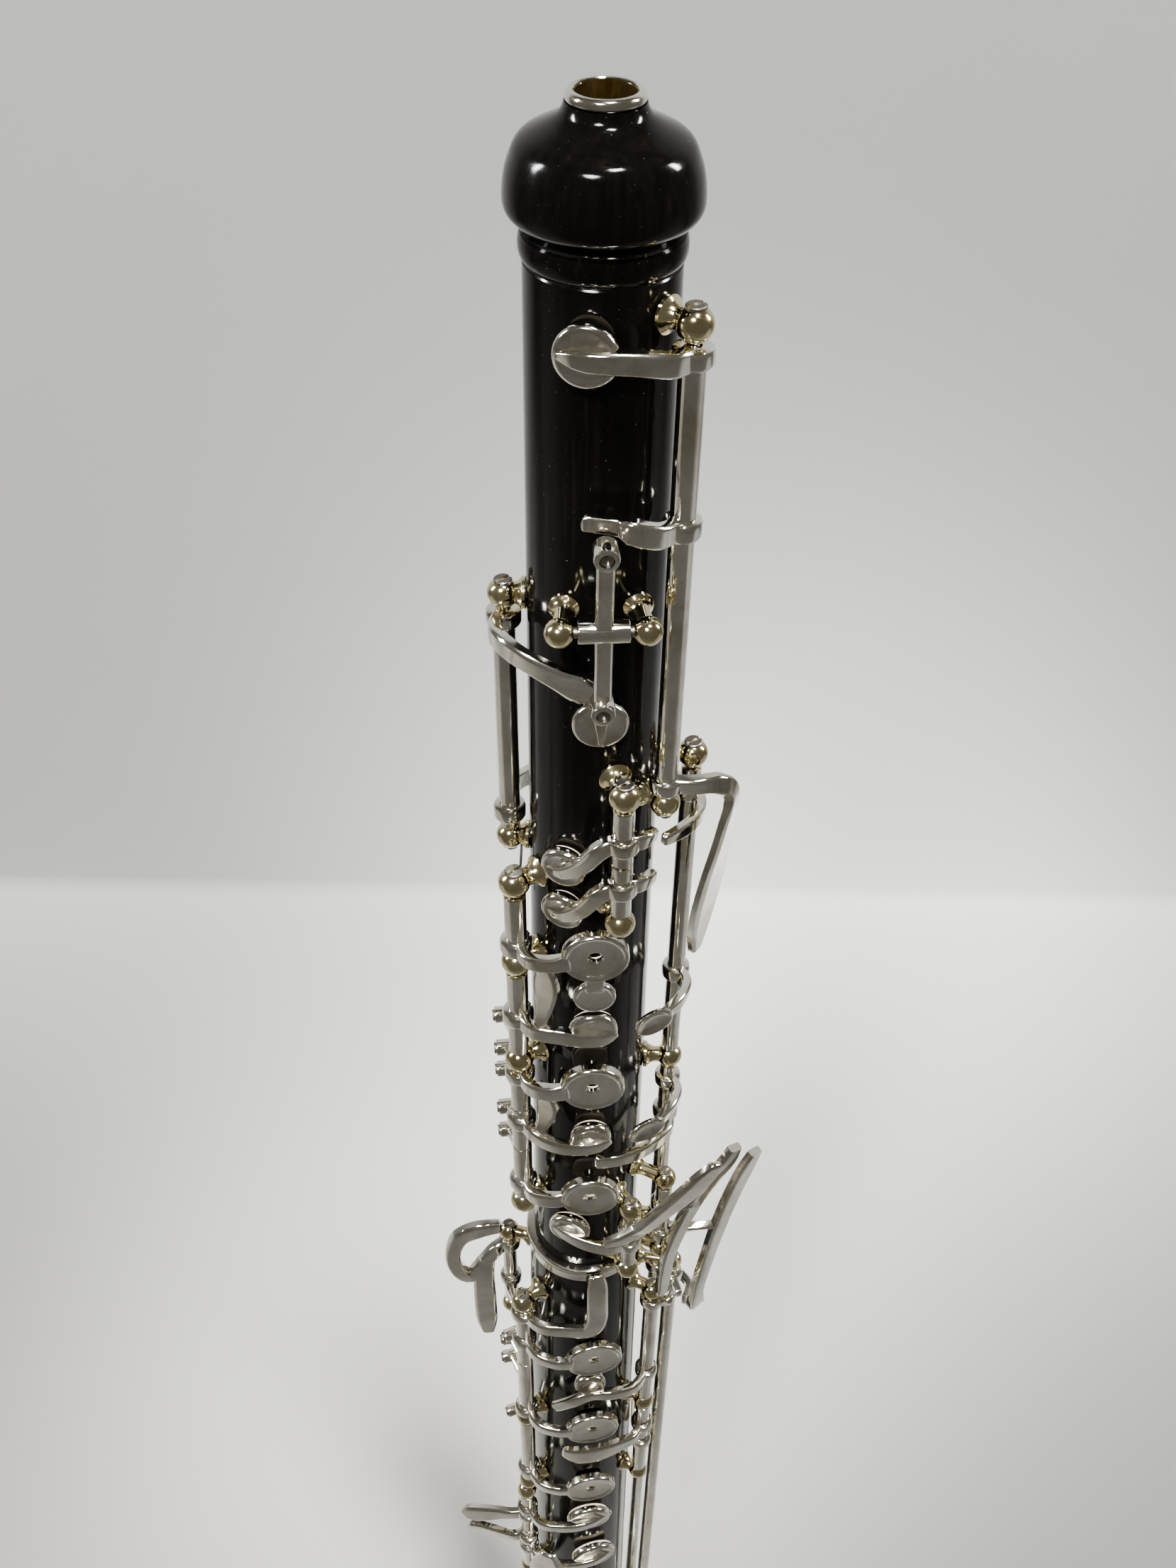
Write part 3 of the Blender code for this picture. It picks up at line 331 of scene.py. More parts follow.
def show(solids, name, slot, body="root", stands_for=(), cutters=()):
    """Fuse solids into one finished piece in metres, with its material, on its body."""
    thing = fuse(solids, cutters)
    shape = bmesh.new()
    shape.from_mesh(thing.data)
    bmesh.ops.remove_doubles(shape, verts=shape.verts, dist=WELD)
    shape.to_mesh(thing.data)
    shape.free()
    thing.data.transform(Matrix.Scale(MM, 4))
    thing.data.shade_smooth()
    thing.data.set_sharp_from_angle(angle=radians(SHARP))
    thing.data.materials.clear()
    thing.data.materials.append(MATERIALS[slot])
    normals = thing.modifiers.new("weighted normals", "WEIGHTED_NORMAL")
    normals.keep_sharp = True
    thing.name = name
    thing.data.name = name
    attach(thing, body)
    if stands_for:
        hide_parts(*stands_for)
    return thing


# ---- hinge lines and keys ---------------------------------------------------------------------------------
class Line:
    """A steel held between ball posts along the body, on which keys turn."""

    def __init__(self, azimuth, distance, posts, ball, tube=TUBE):
        self.azimuth, self.distance, self.posts = azimuth, distance, posts
        self.ball, self.tube = ball, tube

    def point(self, depth):
        return polar(self.azimuth, self.distance, depth)

    def build(self, name):
        steel = upright(self.azimuth, self.distance, self.posts[0] + 0.5, self.posts[-1] - 0.5, STEEL)
        steel = show([steel], f"{name}.steel", "steel")
        solids = []
        for depth in self.posts:
            foot = polar(self.azimuth, surface(depth + self.ball) + GAP, depth)
            solids.append(post(foot, self.point(depth), self.ball))
        posts = show(solids, f"{name}.turned", "nickel_silver", stands_for=[name])
        for depth, way, label in ((self.posts[0], 1, "top"), (self.posts[-1], -1, "bottom")):
            axis = Vector((0, 0, way))
            seat = self.point(depth) + axis * (self.ball - 0.42)
            screw = show(slotted(seat, axis, self.ball * 0.56, 0.52), f"{name}.{label}_screw", "steel")
            screw.parent = posts
        steel.parent = posts

    def spring(self, name, post_depth, reach, side):
        """A needle spring from a post's neck, lying beside the tube."""
        lean = 6.5 * side
        start = polar(self.azimuth + lean, self.distance - 1.9, post_depth)
        end = polar(self.azimuth + lean, self.distance - 1.1, post_depth + reach)
        show([rod(start, end, SPRING, 10)], name, "steel")


class Key:
    """A key: tube, collars, arms, cups and touches that turn together on one hinge line."""

    def __init__(self, name, line, top, bottom):
        self.name, self.line, self.top, self.bottom = name, line, top, bottom
        self.solids = [upright(line.azimuth, line.distance, top, bottom, line.tube)]
        self.pads = []
        self.screws = []

    def collar(self, depth):
        top, bottom = max(depth - COLLAR_LENGTH / 2, self.top), min(depth + COLLAR_LENGTH / 2, self.bottom)
        radius = self.line.tube + COLLAR
        self.solids.append(rod(self.line.point(bottom), self.line.point(top), radius, ROUND_TUBE, 0.6))

    def arm(self, depth, *stations, facing=None):
        """A bar from the hinge tube at a depth through the stations."""
        width, thickness = stations[0][3:]
        self.collar(depth)
        self.bar((self.line.azimuth, self.line.distance, depth, width, thickness), *stations, facing=facing)

    def bar(self, *stations, facing=None):
        self.solids.append(bar(stations, facing))

    def disc(self, azimuth, depth, radius):
        """A flat round touch, just above the wood, with a thin raised edge."""
        profile = [(0, 0), (radius - 0.2, 0), (radius, 0.2), (radius, 0.85), (radius - 0.15, 1.1),
                   (radius - 0.45, 1.2), (radius - 0.75, 1.1), (radius - 1.0, 0.95), (0, 0.9)]
        self.solids.append(lathe(profile, polar(azimuth, DISC_BASE, depth), outward(azimuth), ROUND_CUP))

    def cup(self, azimuth, depth, radius, lift=0.0):
        self.solids.append(cup(azimuth, depth, radius, lift))
        self.pads.append(pad(azimuth, depth, radius, lift))

    def plate(self, azimuth, depth, radius):
        self.solids.append(plate(azimuth, depth, radius))
        self.pads.append(plate_pad(azimuth, depth, radius))

    def spoon(self, *place):
        self.solids.append(spoon(*place))

    def lug(self, azimuth, depth, inner, outer):
        """A short arm to a barrel standing out from the body, with its adjusting screw."""
        self.bar((self.line.azimuth, self.line.distance, depth, 2.6, 1.7),
                 (azimuth, inner + 1.4, depth, 2.4, 1.7))
        self.solids.append(rod(polar(azimuth, inner, depth), polar(azimuth, outer, depth), BARREL))
        seat = polar(azimuth, outer - 0.05, depth)
        self.screws.append(slotted(seat, outward(azimuth), BARREL * 0.68, 0.4))

    def build(self):
        line = self.line
        steel_room = upright(line.azimuth, line.distance, self.top - 2, self.bottom + 2, BORE)
        nodes = [self.name] + [f"{self.name}_pad"] * (f"{self.name}_pad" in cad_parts)
        metal = show(self.solids, f"{self.name}.metal", "silver", self.name, nodes, [steel_room])
        for kind, parts, slot in (("pad", [[piece] for piece in self.pads], "pad_skin"),
                                  ("screw", self.screws, "steel")):
            for number, solids in enumerate(parts, 1):
                piece = show(solids, f"{self.name}.{kind}_{number}", slot, self.name)
                piece.parent = metal
        return metal


SIDE_OCTAVE = Line(47.3, 14.0, (23.3, 99.7), ball=2.35, tube=1.75)
THUMB_OCTAVE = Line(-93.8, 13.2, (68.0, 115.7), ball=2.3, tube=1.7)
TRILL = Line(14.2, 14.9, (93.9, 121.0), ball=2.45, tube=1.7)
UPPER_STACK = Line(-58.8, 15.0, (118.0, 137.0, 163.5, 209.5), ball=2.6, tube=1.85)
SIDE_LEVERS = Line(86.2, 15.3, (97.5, 173.0, 228.0), ball=2.4)
G_SHARP = Line(30.0, 15.9, (205.0, 227.0), ball=2.3)
LITTLE_LEFT = Line(61.0, 17.4, (203.0, 228.5), ball=2.2)
SIDE_TRILL = Line(-108.0, 17.2, (242.5, 274.0), ball=2.3)
LOWER_STACK = Line(LOWER_TURN - 60.0, 16.9, (246.0, 300.0, 336.0), ball=2.5, tube=1.85)
F_LINE = Line(58.0, 16.9, (245.2, 297.0, 336.0), ball=2.3, tube=1.7)
LOW_B = Line(79.0, 19.4, (242.5, 456.0), ball=2.1)
B_FLAT = Line(106.0, 17.4, (243.0, 460.0), ball=2.3)
LITTLE_RIGHT = Line(LOWER_TURN - 61.0, 17.5, (342.4, 392.0, 447.0), ball=2.4, tube=1.8)
BELL_LINE = Line(74.0, 22.5, (492.0, 534.0), ball=2.3)


def side_octave_key():
    key = Key("side_octave_key", SIDE_OCTAVE, 25.9, 97.1)
    key.arm(27.1, (33, 14.7, 27.0, 3.2, 1.8), (10, 13.4, 26.3, 3.0, 1.8), (-12.7, 13.0, 26.2, 2.6, 1.6),
            (-29, 12.5, 26.2, 0.9, 0.8))
    key.cup(-12.7, 26.2, 4.1)
    key.arm(51.0, (28, 14.8, 50.2, 3.4, 1.8), (13, 14.2, 48.9, 3.4, 1.8), (8, 13.4, 48.7, 2.4, 1.0),
            (-11, 13.4, 47.9, 2.2, 1.0))
    key.arm(95.9, (53, 17.5, 95.6, 3.0, 1.9), (61, 20.8, 95.8, 3.2, 1.8), (66, 22.4, 98.6, 3.6, 1.6),
            (64.5, 22.1, 105.0, 8.0, 1.5), (61.5, 21.4, 113.0, 11.0, 1.5), (57, 20.6, 123.0, 8.4, 1.5),
            (54.5, 20.2, 130.5, 2.8, 1.4))
    return key.build()


def thumb_octave_key():
    key = Key("thumb_octave_key", THUMB_OCTAVE, 70.6, 113.1)
    key.arm(71.8, (-76, 15.0, 71.6, 3.4, 1.8), (-55, 14.6, 71.7, 3.4, 1.7), (-32, 12.9, 73.8, 3.8, 1.5),
            (-15, 11.7, 76.0, 5.0, 1.2), (-2, 11.4, 77.8, 3.4, 1.2), (0.3, 12.9, 81.6, 1.8, 1.4),
            (0.3, 12.8, 84.8, 0.8, 0.8))
    key.cup(0.3, 82.0, 4.1)
    key.arm(110.0, (-115, 14.6, 110.5, 3.0, 1.7), (-140, 14.4, 111.5, 4.0, 1.6),
            (-160, 14.4, 113.0, 8.0, 1.6), (-185, 14.4, 114.5, 11.0, 1.6), (-203, 14.2, 115.5, 8.0, 1.5))
    return key.build()


def trill_keys():
    upper = Key("trill_key_upper", TRILL, 96.4, 107.4)
    upper.arm(103.3, (2, 15.3, 103.8, 3.0, 1.8), (-10, 14.2, 108.6, 2.8, 1.7), (-24, 13.3, 111.6, 2.2, 1.5),
              (-36, 12.6, 112.2, 0.8, 0.8))
    upper.arm(103.3, (25, 15.7, 103.2, 2.8, 1.8), (34, 15.0, 103.6, 2.4, 1.5))
    upper.cup(-25, 111.8, 3.7)
    lower = Key("trill_key_lower", TRILL, 107.8, 118.5)
    lower.arm(112.6, (2, 15.3, 113.4, 3.0, 1.8), (-11, 14.2, 118.6, 2.8, 1.7), (-25, 13.3, 121.4, 2.2, 1.5),
              (-37, 12.6, 121.8, 0.8, 0.8))
    lower.arm(112.6, (25, 15.7, 112.5, 2.8, 1.8), (35, 15.0, 112.8, 2.4, 1.5))
    lower.cup(-26, 121.7, 3.6)
    return [upper.build(), lower.build()]


def upper_plates():
    """The left hand's keys, on the hinge down the front left of the upper joint."""
    first = Key("left_plate_1", UPPER_STACK, 120.8, 134.2)
    first.arm(132.6, (-43, 16.2, 132.4, 2.8, 1.8), (-29, 15.3, 131.8, 3.0, 1.8),
              (-19, 14.4, 131.2, 3.6, 1.4))
    first.plate(0, 130.3, 5.6)
    first.bar((0, 13.4, 134.5, 3.4, 1.2), (0, 13.4, 138.5, 3.4, 1.2))
    first.disc(0, 140.4, 3.6)
    c_key = Key("c_key", UPPER_STACK, 139.8, 160.7)
    c_key.arm(151.0, (-43, 15.8, 150.8, 3.4, 1.8), (-27, 14.5, 150.9, 3.6, 1.8), (-8, 13.5, 151.8, 3.4, 1.6),
              (8, 13.2, 152.2, 3.0, 1.4), (17, 13.0, 151.8, 1.4, 1.0))
    c_key.bar((-40, 15.3, 150.4, 1.8, 1.2), (-37, 14.5, 147.2, 2.6, 1.2), (-35.5, 14.0, 143.5, 3.8, 1.2),
              (-35, 13.9, 139.4, 4.8, 1.2), (-35, 13.9, 136.6, 3.4, 1.2), (-35, 13.9, 135.4, 1.6, 1.0))
    c_key.cup(0, 150.9, 4.25)
    c_key.lug(-85, 159.0, 13.8, 17.2)
    second = Key("left_plate_2", UPPER_STACK, 166.3, 177.6)
    second.arm(167.4, (-43, 16.2, 167.2, 3.4, 1.8), (-29, 15.4, 166.7, 3.6, 1.8),
               (-19, 14.5, 166.2, 3.8, 1.4))
    second.plate(0, 165.3, 5.75)
    second.lug(-85, 168.6, 13.8, 17.2)
    second.lug(-85, 175.0, 13.8, 17.2)
    vent = Key("b_flat_vent_key", UPPER_STACK, 178.0, 190.2)
    vent.arm(181.6, (-43, 15.8, 181.8, 3.4, 1.8), (-27, 14.7, 183.6, 3.6, 1.8), (-8, 13.6, 184.4, 3.2, 1.6),
             (6, 13.4, 184.0, 2.8, 1.4), (15, 13.2, 183.6, 1.4, 1.0))
    vent.bar((-40, 15.3, 181.2, 1.8, 1.2), (-37, 14.5, 178.6, 2.6, 1.2), (-35.5, 14.0, 175.4, 3.8, 1.2),
             (-35, 13.9, 172.8, 4.2, 1.2), (-35, 13.9, 171.0, 2.2, 1.0))
    vent.cup(0, 182.4, 3.8)
    vent.lug(-85, 187.0, 13.8, 17.2)
    third = Key("left_plate_3", UPPER_STACK, 190.6, 206.9)
    third.arm(202.4, (-43, 16.2, 202.2, 3.4, 1.8), (-29, 15.4, 201.4, 3.6, 1.8),
              (-19, 14.5, 200.9, 3.8, 1.4))
    third.plate(0, 200.2, 5.7)
    third.lug(-85, 194.6, 13.8, 17.2)
    return [key.build() for key in (first, c_key, second, vent, third)]


def side_levers():
    """Two levers with spoon ends, on the long steel down the right of the upper joint."""
    upper = Key("side_lever_upper", SIDE_LEVERS, 100.1, 170.4)
    upper.arm(104.6, (72, 17.4, 104.4, 2.6, 1.6), (57, 17.7, 104.0, 2.6, 1.5), (44, 17.2, 103.8, 2.4, 1.4),
              (37, 16.9, 103.8, 2.0, 1.3))
    upper.arm(148.4, (74, 17.4, 148.2, 3.0, 1.7), (60, 17.5, 147.8, 2.8, 1.6), (47, 17.1, 147.6, 2.4, 1.5),
              facing=40)
    upper.spoon(37.5, 16.8, 147.6, 7.2, 5.6, 122, 14)
    lower = Key("side_lever_lower", SIDE_LEVERS, 175.6, 225.5)
    lower.arm(179.8, (74, 17.4, 179.6, 3.0, 1.7), (60, 17.5, 179.2, 2.8, 1.6), (46, 17.1, 179.2, 2.4, 1.5),
              facing=40)
    lower.spoon(37.5, 16.8, 179.2, 7.6, 5.2, 122, 14)
    lower.arm(190.4, (70, 16.6, 190.2, 3.0, 1.7), (46, 15.0, 189.9, 3.2, 1.6), (24, 13.8, 189.6, 3.2, 1.6),
              (6, 13.2, 189.6, 3.2, 1.4))
    return [upper.build(), lower.build()]


def left_little_finger_keys():
    """G sharp and the two levers beside it, whose touches spread up to the right and face the front."""
    g_sharp = Key("g_sharp_key", G_SHARP, 207.6, 224.4)
    g_sharp.arm(212.0, (32, 18.6, 209.8, 4.0, 1.8), (41, 21.4, 203.4, 4.6, 1.8), (48, 24.4, 197.0, 5.2, 1.8),
                (53, 27.0, 191.0, 4.8, 1.7), (55, 28.4, 187.6, 2.8, 1.5), facing=20)
    g_sharp.bar((10, 16.8, 212.8, 2.2, 1.5), (20, 17.4, 212.0, 3.4, 1.7),
                (32, 18.6, 209.8, 4.0, 1.8), facing=20)
    g_sharp.arm(217.0, (16, 16.0, 216.8, 3.2, 1.8), (0, 14.8, 216.2, 3.2, 1.7), (-18, 13.8, 215.2, 2.8, 1.5),
                (-35, 13.1, 214.6, 0.9, 0.8))
    g_sharp.cup(-18, 214.6, 4.2)
    low_b = Key("left_low_b_lever", LITTLE_LEFT, 205.6, 215.0)
    low_b.arm(212.0, (63, 20.0, 211.6, 3.8, 1.9), (65, 23.0, 210.0, 4.0, 1.9))
    low_b.bar((70, 29.8, 191.0, 2.8, 1.7), (69, 28.4, 196.0, 4.8, 1.8), (67, 25.4, 204.0, 4.8, 1.8),
              (65, 23.2, 211.0, 4.2, 1.9), (58, 21.8, 217.0, 3.8, 1.9), (52, 20.8, 226.0, 3.4, 1.8),
              (50, 20.4, 239.0, 2.6, 1.6), facing=30)
    low_b_flat = Key("left_low_b_flat_lever", LITTLE_LEFT, 215.4, 226.0)
    low_b_flat.arm(222.0, (66, 21.0, 221.8, 3.8, 1.9), (70, 25.0, 221.0, 3.8, 1.9),
                   (72.5, 28.4, 220.0, 3.8, 1.9))
    low_b_flat.bar((74, 33.6, 194.0, 2.8, 1.7), (73.6, 32.4, 199.0, 4.6, 1.8), (73, 30.6, 208.0, 4.8, 1.8),
                   (72.5, 28.8, 219.0, 4.4, 1.9), (72, 27.2, 232.0, 3.8, 1.9), (71, 26.0, 243.0, 3.4, 1.9),
                   (71.5, 25.6, 250.0, 3.6, 1.9), (74, 25.6, 255.0, 4.4, 2.2),
                   (77, 25.4, 258.5, 3.2, 1.8), facing=35)
    return [g_sharp.build(), low_b.build(), low_b_flat.build()]


def side_trill_key():
    """A hooked key for the left hand, beside the middle joint, with a flat touch hanging below."""
    key = Key("side_trill_key", SIDE_TRILL, 245.2, 271.4)
    key.arm(247.0, (-101, 19.6, 247.6, 3.4, 2.2), (-97, 22.6, 252.0, 3.4, 2.2), (-95, 25.4, 256.0, 3.4, 2.2),
            (-94, 28.0, 253.0, 3.4, 2.2), (-94, 29.0, 246.5, 3.4, 2.2), (-94.5, 27.2, 240.0, 4.0, 2.2),
            (-95, 23.2, 236.8, 4.6, 2.2), (-97, 18.8, 236.2, 3.4, 2.0), facing=0)
    key.bar((-97, 21.6, 250.0, 3.4, 1.5), (-95, 22.4, 256.0, 4.6, 1.5), (-95, 22.5, 266.0, 5.0, 1.4),
            (-95, 22.4, 275.0, 4.8, 1.3), (-95, 22.3, 281.0, 2.8, 1.2), facing=0)
    key.arm(262.0, (-98, 16.9, 262.2, 2.8, 1.7), (-88, 15.6, 262.4, 2.8, 1.6), (-80, 15.2, 262.4, 2.4, 1.5),
            (-66, 14.8, 262.4, 0.8, 0.8))
    key.cup(-81, 262.4, 4.0)
    return key.build()


def lower_plates():
    """The right hand's keys, on the hinge down the front left of the lower joint."""
    front = LOWER_TURN

    def plated_key(number, top, bottom, arm, depths, radius):
        key = Key(f"right_plate_{number}", LOWER_STACK, top, bottom)
        near, middle, far = depths
        key.arm(arm, (front - 43, 18.2, near, 3.4, 1.9), (front - 29, 17.3, middle, 3.6, 1.9),
                (front - 18, 16.6, far, 3.8, 1.2))
        key.plate(front, far, radius)
        return key

    first = plated_key(1, 248.6, 272.0, 262.0, (262.0, 263.0, 263.4), 6.3)
    first.arm(250.4, (front - 43, 17.4, 250.2, 3.4, 1.7), (front - 24, 16.0, 250.0, 3.8, 1.6),
              (front - 5, 15.6, 249.8, 4.2, 1.5), (front + 1, 15.6, 245.5, 4.4, 1.5),
              (front + 1, 15.7, 238.0, 4.4, 1.5), (front + 1, 15.2, 232.0, 4.2, 1.4),
              (front + 1, 14.8, 229.2, 3.0, 1.3))
    first.lug(front - 78, 269.2, 15.6, 19.2)
    second = plated_key(2, 272.4, 297.5, 295.6, (295.8, 296.6, 297.0), 6.3)
    second.lug(front - 86, 275.4, 15.6, 19.2)
    second.lug(front - 86, 284.0, 15.6, 19.2)
    third = plated_key(3, 302.6, 333.4, 328.4, (328.6, 329.4, 329.8), 6.2)
    third.lug(front - 80, 308.0, 15.6, 19.2)
    return [key.build() for key in (first, second, third)]


def f_keys():
    """Forked-F vent and F key, whose tubes turn on the right-hand line."""
    front = LOWER_TURN
    vent = Key("forked_f_vent_key", F_LINE, 247.8, 294.4)
    vent.arm(281.5, (front + 34, 17.6, 281.2, 3.2, 1.8), (front + 16, 16.5, 280.2, 3.2, 1.8),
             (front - 2, 15.3, 280.6, 3.2, 1.6), (front - 18, 15.4, 284.0, 3.0, 1.5),
             (front - 32, 15.6, 288.0, 2.4, 1.4))
    vent.cup(front - 2, 277.8, 3.6)
    vent.arm(249.2, (60, 19.6, 249.0, 2.6, 1.6), (60, 21.0, 246.6, 2.8, 1.6))
    f_key = Key("f_key", F_LINE, 299.6, 333.4)
    f_key.arm(309.0, (front + 37, 17.6, 308.8, 3.4, 1.8), (front + 26, 17.1, 308.2, 4.6, 1.7),
              (front + 14, 16.6, 308.6, 6.6, 1.7), (front, 16.4, 309.2, 7.2, 1.7),
              (front - 13, 16.4, 309.4, 6.8, 1.7), (front - 23, 16.2, 309.0, 4.0, 1.5))
    f_key.arm(318.0, (68, 17.8, 318.0, 2.6, 1.7), (84, 15.6, 318.0, 2.4, 1.6), (98, 15.0, 318.0, 0.8, 0.8))
    f_key.cup(84, 318.0, 4.2)
    return [vent.build(), f_key.build()]


def low_keys():
    """Low B on the right of the lower joint, and the long tube that carries low B flat to the bell."""
    low_b = Key("low_b_key", LOW_B, 244.6, 453.4)
    low_b.arm(441.0, (62, 19.8, 440.6, 3.4, 1.9), (42, 18.8, 440.0, 3.4, 1.9), (18, 17.6, 439.6, 3.2, 1.8),
              (-2, 17.2, 439.4, 1.4, 1.2))
    low_b.cup(15, 439.6, 7.0, 1.2)
    low_b.arm(248.0, (72, 20.8, 248.2, 2.8, 1.6), (67.5, 22.0, 248.4, 2.6, 1.5))
    b_flat = Key("low_b_flat_rod", B_FLAT, 245.6, 457.4)
    b_flat.arm(455.6, (100, 19.8, 456.0, 3.2, 1.8), (90, 22.6, 460.0, 3.2, 1.8), (80, 23.4, 468.0, 3.2, 1.7),
               (77, 23.4, 474.0, 2.6, 1.6))
    b_flat.arm(258.0, (99, 20.8, 258.2, 2.8, 1.6), (89, 23.8, 258.6, 2.8, 1.6), (83, 23.5, 259.0, 3.4, 1.4),
               (79, 22.9, 259.0, 3.4, 1.2))
    return [low_b.build(), b_flat.build()]


def right_little_finger_keys():
    """E flat, C sharp and low C, on the hinge below the right hand's plates."""
    front = LOWER_TURN
    e_flat = Key("e_flat_key", LITTLE_RIGHT, 345.0, 366.0)
    e_flat.arm(352.4, (front - 42, 18.6, 352.2, 3.4, 1.8), (front - 20, 17.0, 351.8, 3.4, 1.8),
               (front, 15.9, 351.6, 3.0, 1.7), (front + 22, 15.2, 351.4, 1.2, 1.0))
    e_flat.cup(front, 351.6, 5.6)
    e_flat.arm(357.0, (-62, 21.0, 357.6, 3.8, 1.9), (-67, 24.0, 358.0, 5.2, 1.8),
               (-71, 27.4, 358.8, 6.8, 1.8),
               (-74, 30.4, 359.8, 6.6, 1.7), (-75.5, 31.9, 360.8, 4.0, 1.5), facing=-25)
    c_sharp = Key("c_sharp_key", LITTLE_RIGHT, 366.4, 389.4)
    c_sharp.arm(378.0, (front - 42, 18.6, 377.8, 3.4, 1.8), (front - 20, 17.0, 377.4, 3.4, 1.8),
                (front + 6, 16.1, 377.0, 3.0, 1.7), (front + 28, 15.4, 376.8, 1.2, 1.0))
    c_sharp.cup(front + 6, 377.0, 6.0)
    c_sharp.arm(371.4, (-62, 20.8, 372.4, 3.8, 1.9), (-67, 23.8, 371.2, 5.0, 1.8),
                (-71, 27.0, 369.8, 6.4, 1.8),
                (-74, 29.8, 368.8, 6.0, 1.7), (-75, 31.0, 368.4, 3.8, 1.5), facing=-25)
    low_c = Key("low_c_key", LITTLE_RIGHT, 394.6, 444.4)
    low_c.arm(407.0, (front - 42, 18.8, 406.8, 3.4, 1.9), (front - 20, 18.1, 406.4, 3.4, 1.9),
              (front, 17.4, 406.0, 3.2, 1.8), (front + 25, 16.7, 405.8, 1.2, 1.0))
    low_c.cup(front, 406.0, 6.6, 1.2)
    low_c.arm(398.0, (-38, 20.8, 396.4, 3.6, 1.8), (-30, 21.4, 390.0, 5.0, 1.8),
              (-27, 21.6, 381.0, 9.0, 1.8), (-26, 21.6, 371.0, 10.0, 1.8), (-26, 21.4, 362.0, 4.0, 1.6))
    return [e_flat.build(), c_sharp.build(), low_c.build()]


def bell_key():
    key = Key("bell_b_flat_key", BELL_LINE, 494.8, 531.2)
    key.arm(519.0, (54, 24.4, 519.4, 3.4, 2.0), (32, 23.8, 519.8, 3.4, 2.0), (8, 21.9, 520.0, 3.2, 1.9),
            (-16, 21.1, 520.0, 1.4, 1.2))
    key.cup(5, 520.0, 7.4, 1.7)
    key.arm(499.0, (77, 25.8, 498.0, 3.4, 1.8), (78, 26.4, 488.0, 3.4, 1.8), (78, 26.2, 473.0, 5.0, 1.7),
            (78, 26.0, 466.0, 3.0, 1.6))
    return key.build()


# ---- body of the instrument -------------------------------------------------------------------------------
def turned(name, slot, outside, inside, stands_for=(), cutters=()):
    """A hollow piece turned on the bore's axis.

    The outside and the inside are (depth, radius) lists from top to bottom.
    """
    profile = [(radius, -depth) for depth, radius in outside + inside[::-1]]
    ring = lathe(profile, Vector((0, 0, LENGTH)), Vector((0, 0, 1)), ROUND_WOOD, looped=True)
    return show([ring], name, slot, stands_for=stands_for, cutters=cutters)


def softened(outline, step=0.7):
    """An outline of (depth, radius) points as a smooth curve."""
    samples = flowing([(depth, radius, 0) for depth, radius in outline], step)
    return [(sample[0], sample[1]) for sample in samples]


def hole(azimuth, depth, radius):
    """Cutter for a tone hole, from outside the wood into the bore."""
    return rod(polar(azimuth, 1.0, depth), polar(azimuth, 16.0, depth), radius, ROUND_TUBE)


def wood():
    front = LOWER_TURN
    upper_holes = [(-12.7, 26.2, 0.8), (0.3, 82.0, 0.8), (-25, 111.8, 1.6), (-26, 121.7, 1.6),
                   (0, 130.3, 1.8), (0, 150.9, 1.9), (0, 165.3, 2.2), (0, 182.4, 1.9), (0, 200.2, 2.4),
                   (-18, 214.6, 2.2)]
    lower_holes = [(-81, 262.4, 2.0), (front, 263.4, 3.0), (front - 2, 277.8, 2.0), (front, 297.0, 3.2),
                   (84, 318.0, 2.6), (front, 329.8, 3.2), (front, 351.6, 3.2), (front + 6, 377.0, 4.0),
                   (front, 406.0, 4.6), (15, 439.6, 5.0)]
    tenon = [(MIDDLE - GAP, 9.0), (251.5, 9.0)]
    well = [(1.3, 4.62), (12.0, 4.3), (20.4, 4.15), (20.6, 2.4), (251.5, 4.6)]
    turned("upper_joint.wood", "grenadilla", softened(FINIAL) + BEAD + UPPER_BODY + tenon, well,
           ["upper_joint"], [hole(*place) for place in upper_holes])
    edge = [(235.6, 11.5), (235.9, 11.72), (236.4, 11.78)]
    bell_tenon = [(BELL_TOP - GAP, 11.3), (485.6, 11.3)]
    turned("lower_joint.wood", "grenadilla", edge + LOWER_BODY[3:] + bell_tenon,
           [(235.6, 10.3), (252.2, 10.3), (252.2, 4.6), (485.6, 8.0)], ["lower_joint"],
           [hole(*place) for place in lower_holes])
    flare = [(479.0, 15.9), (479.8, 16.25), (480.8, 16.1), (481.6, 15.65)]
    bell_bore = [(510.0, 9.4), (545.0, 13.0), (575.0, 17.6), (588.0, 19.4), (594.0, 19.6), (LENGTH, 19.0)]
    outside = flare + softened([(482.4, 15.6), (505.0, 15.9), (535.0, 18.2), (560.0, 22.3), (578.0, 26.4),
                                (587.0, 28.2), (591.5, 28.5), (594.5, 28.1), (596.2, 27.3), (LENGTH, 26.4)],
                               1.5)
    inside = [(479.0, 12.6), (486.2, 12.6), (486.6, 8.2)] + softened(bell_bore, 2)
    turned("bell.wood", "grenadilla", outside, inside, ["bell"], [hole(5, 520.0, 5.6)])


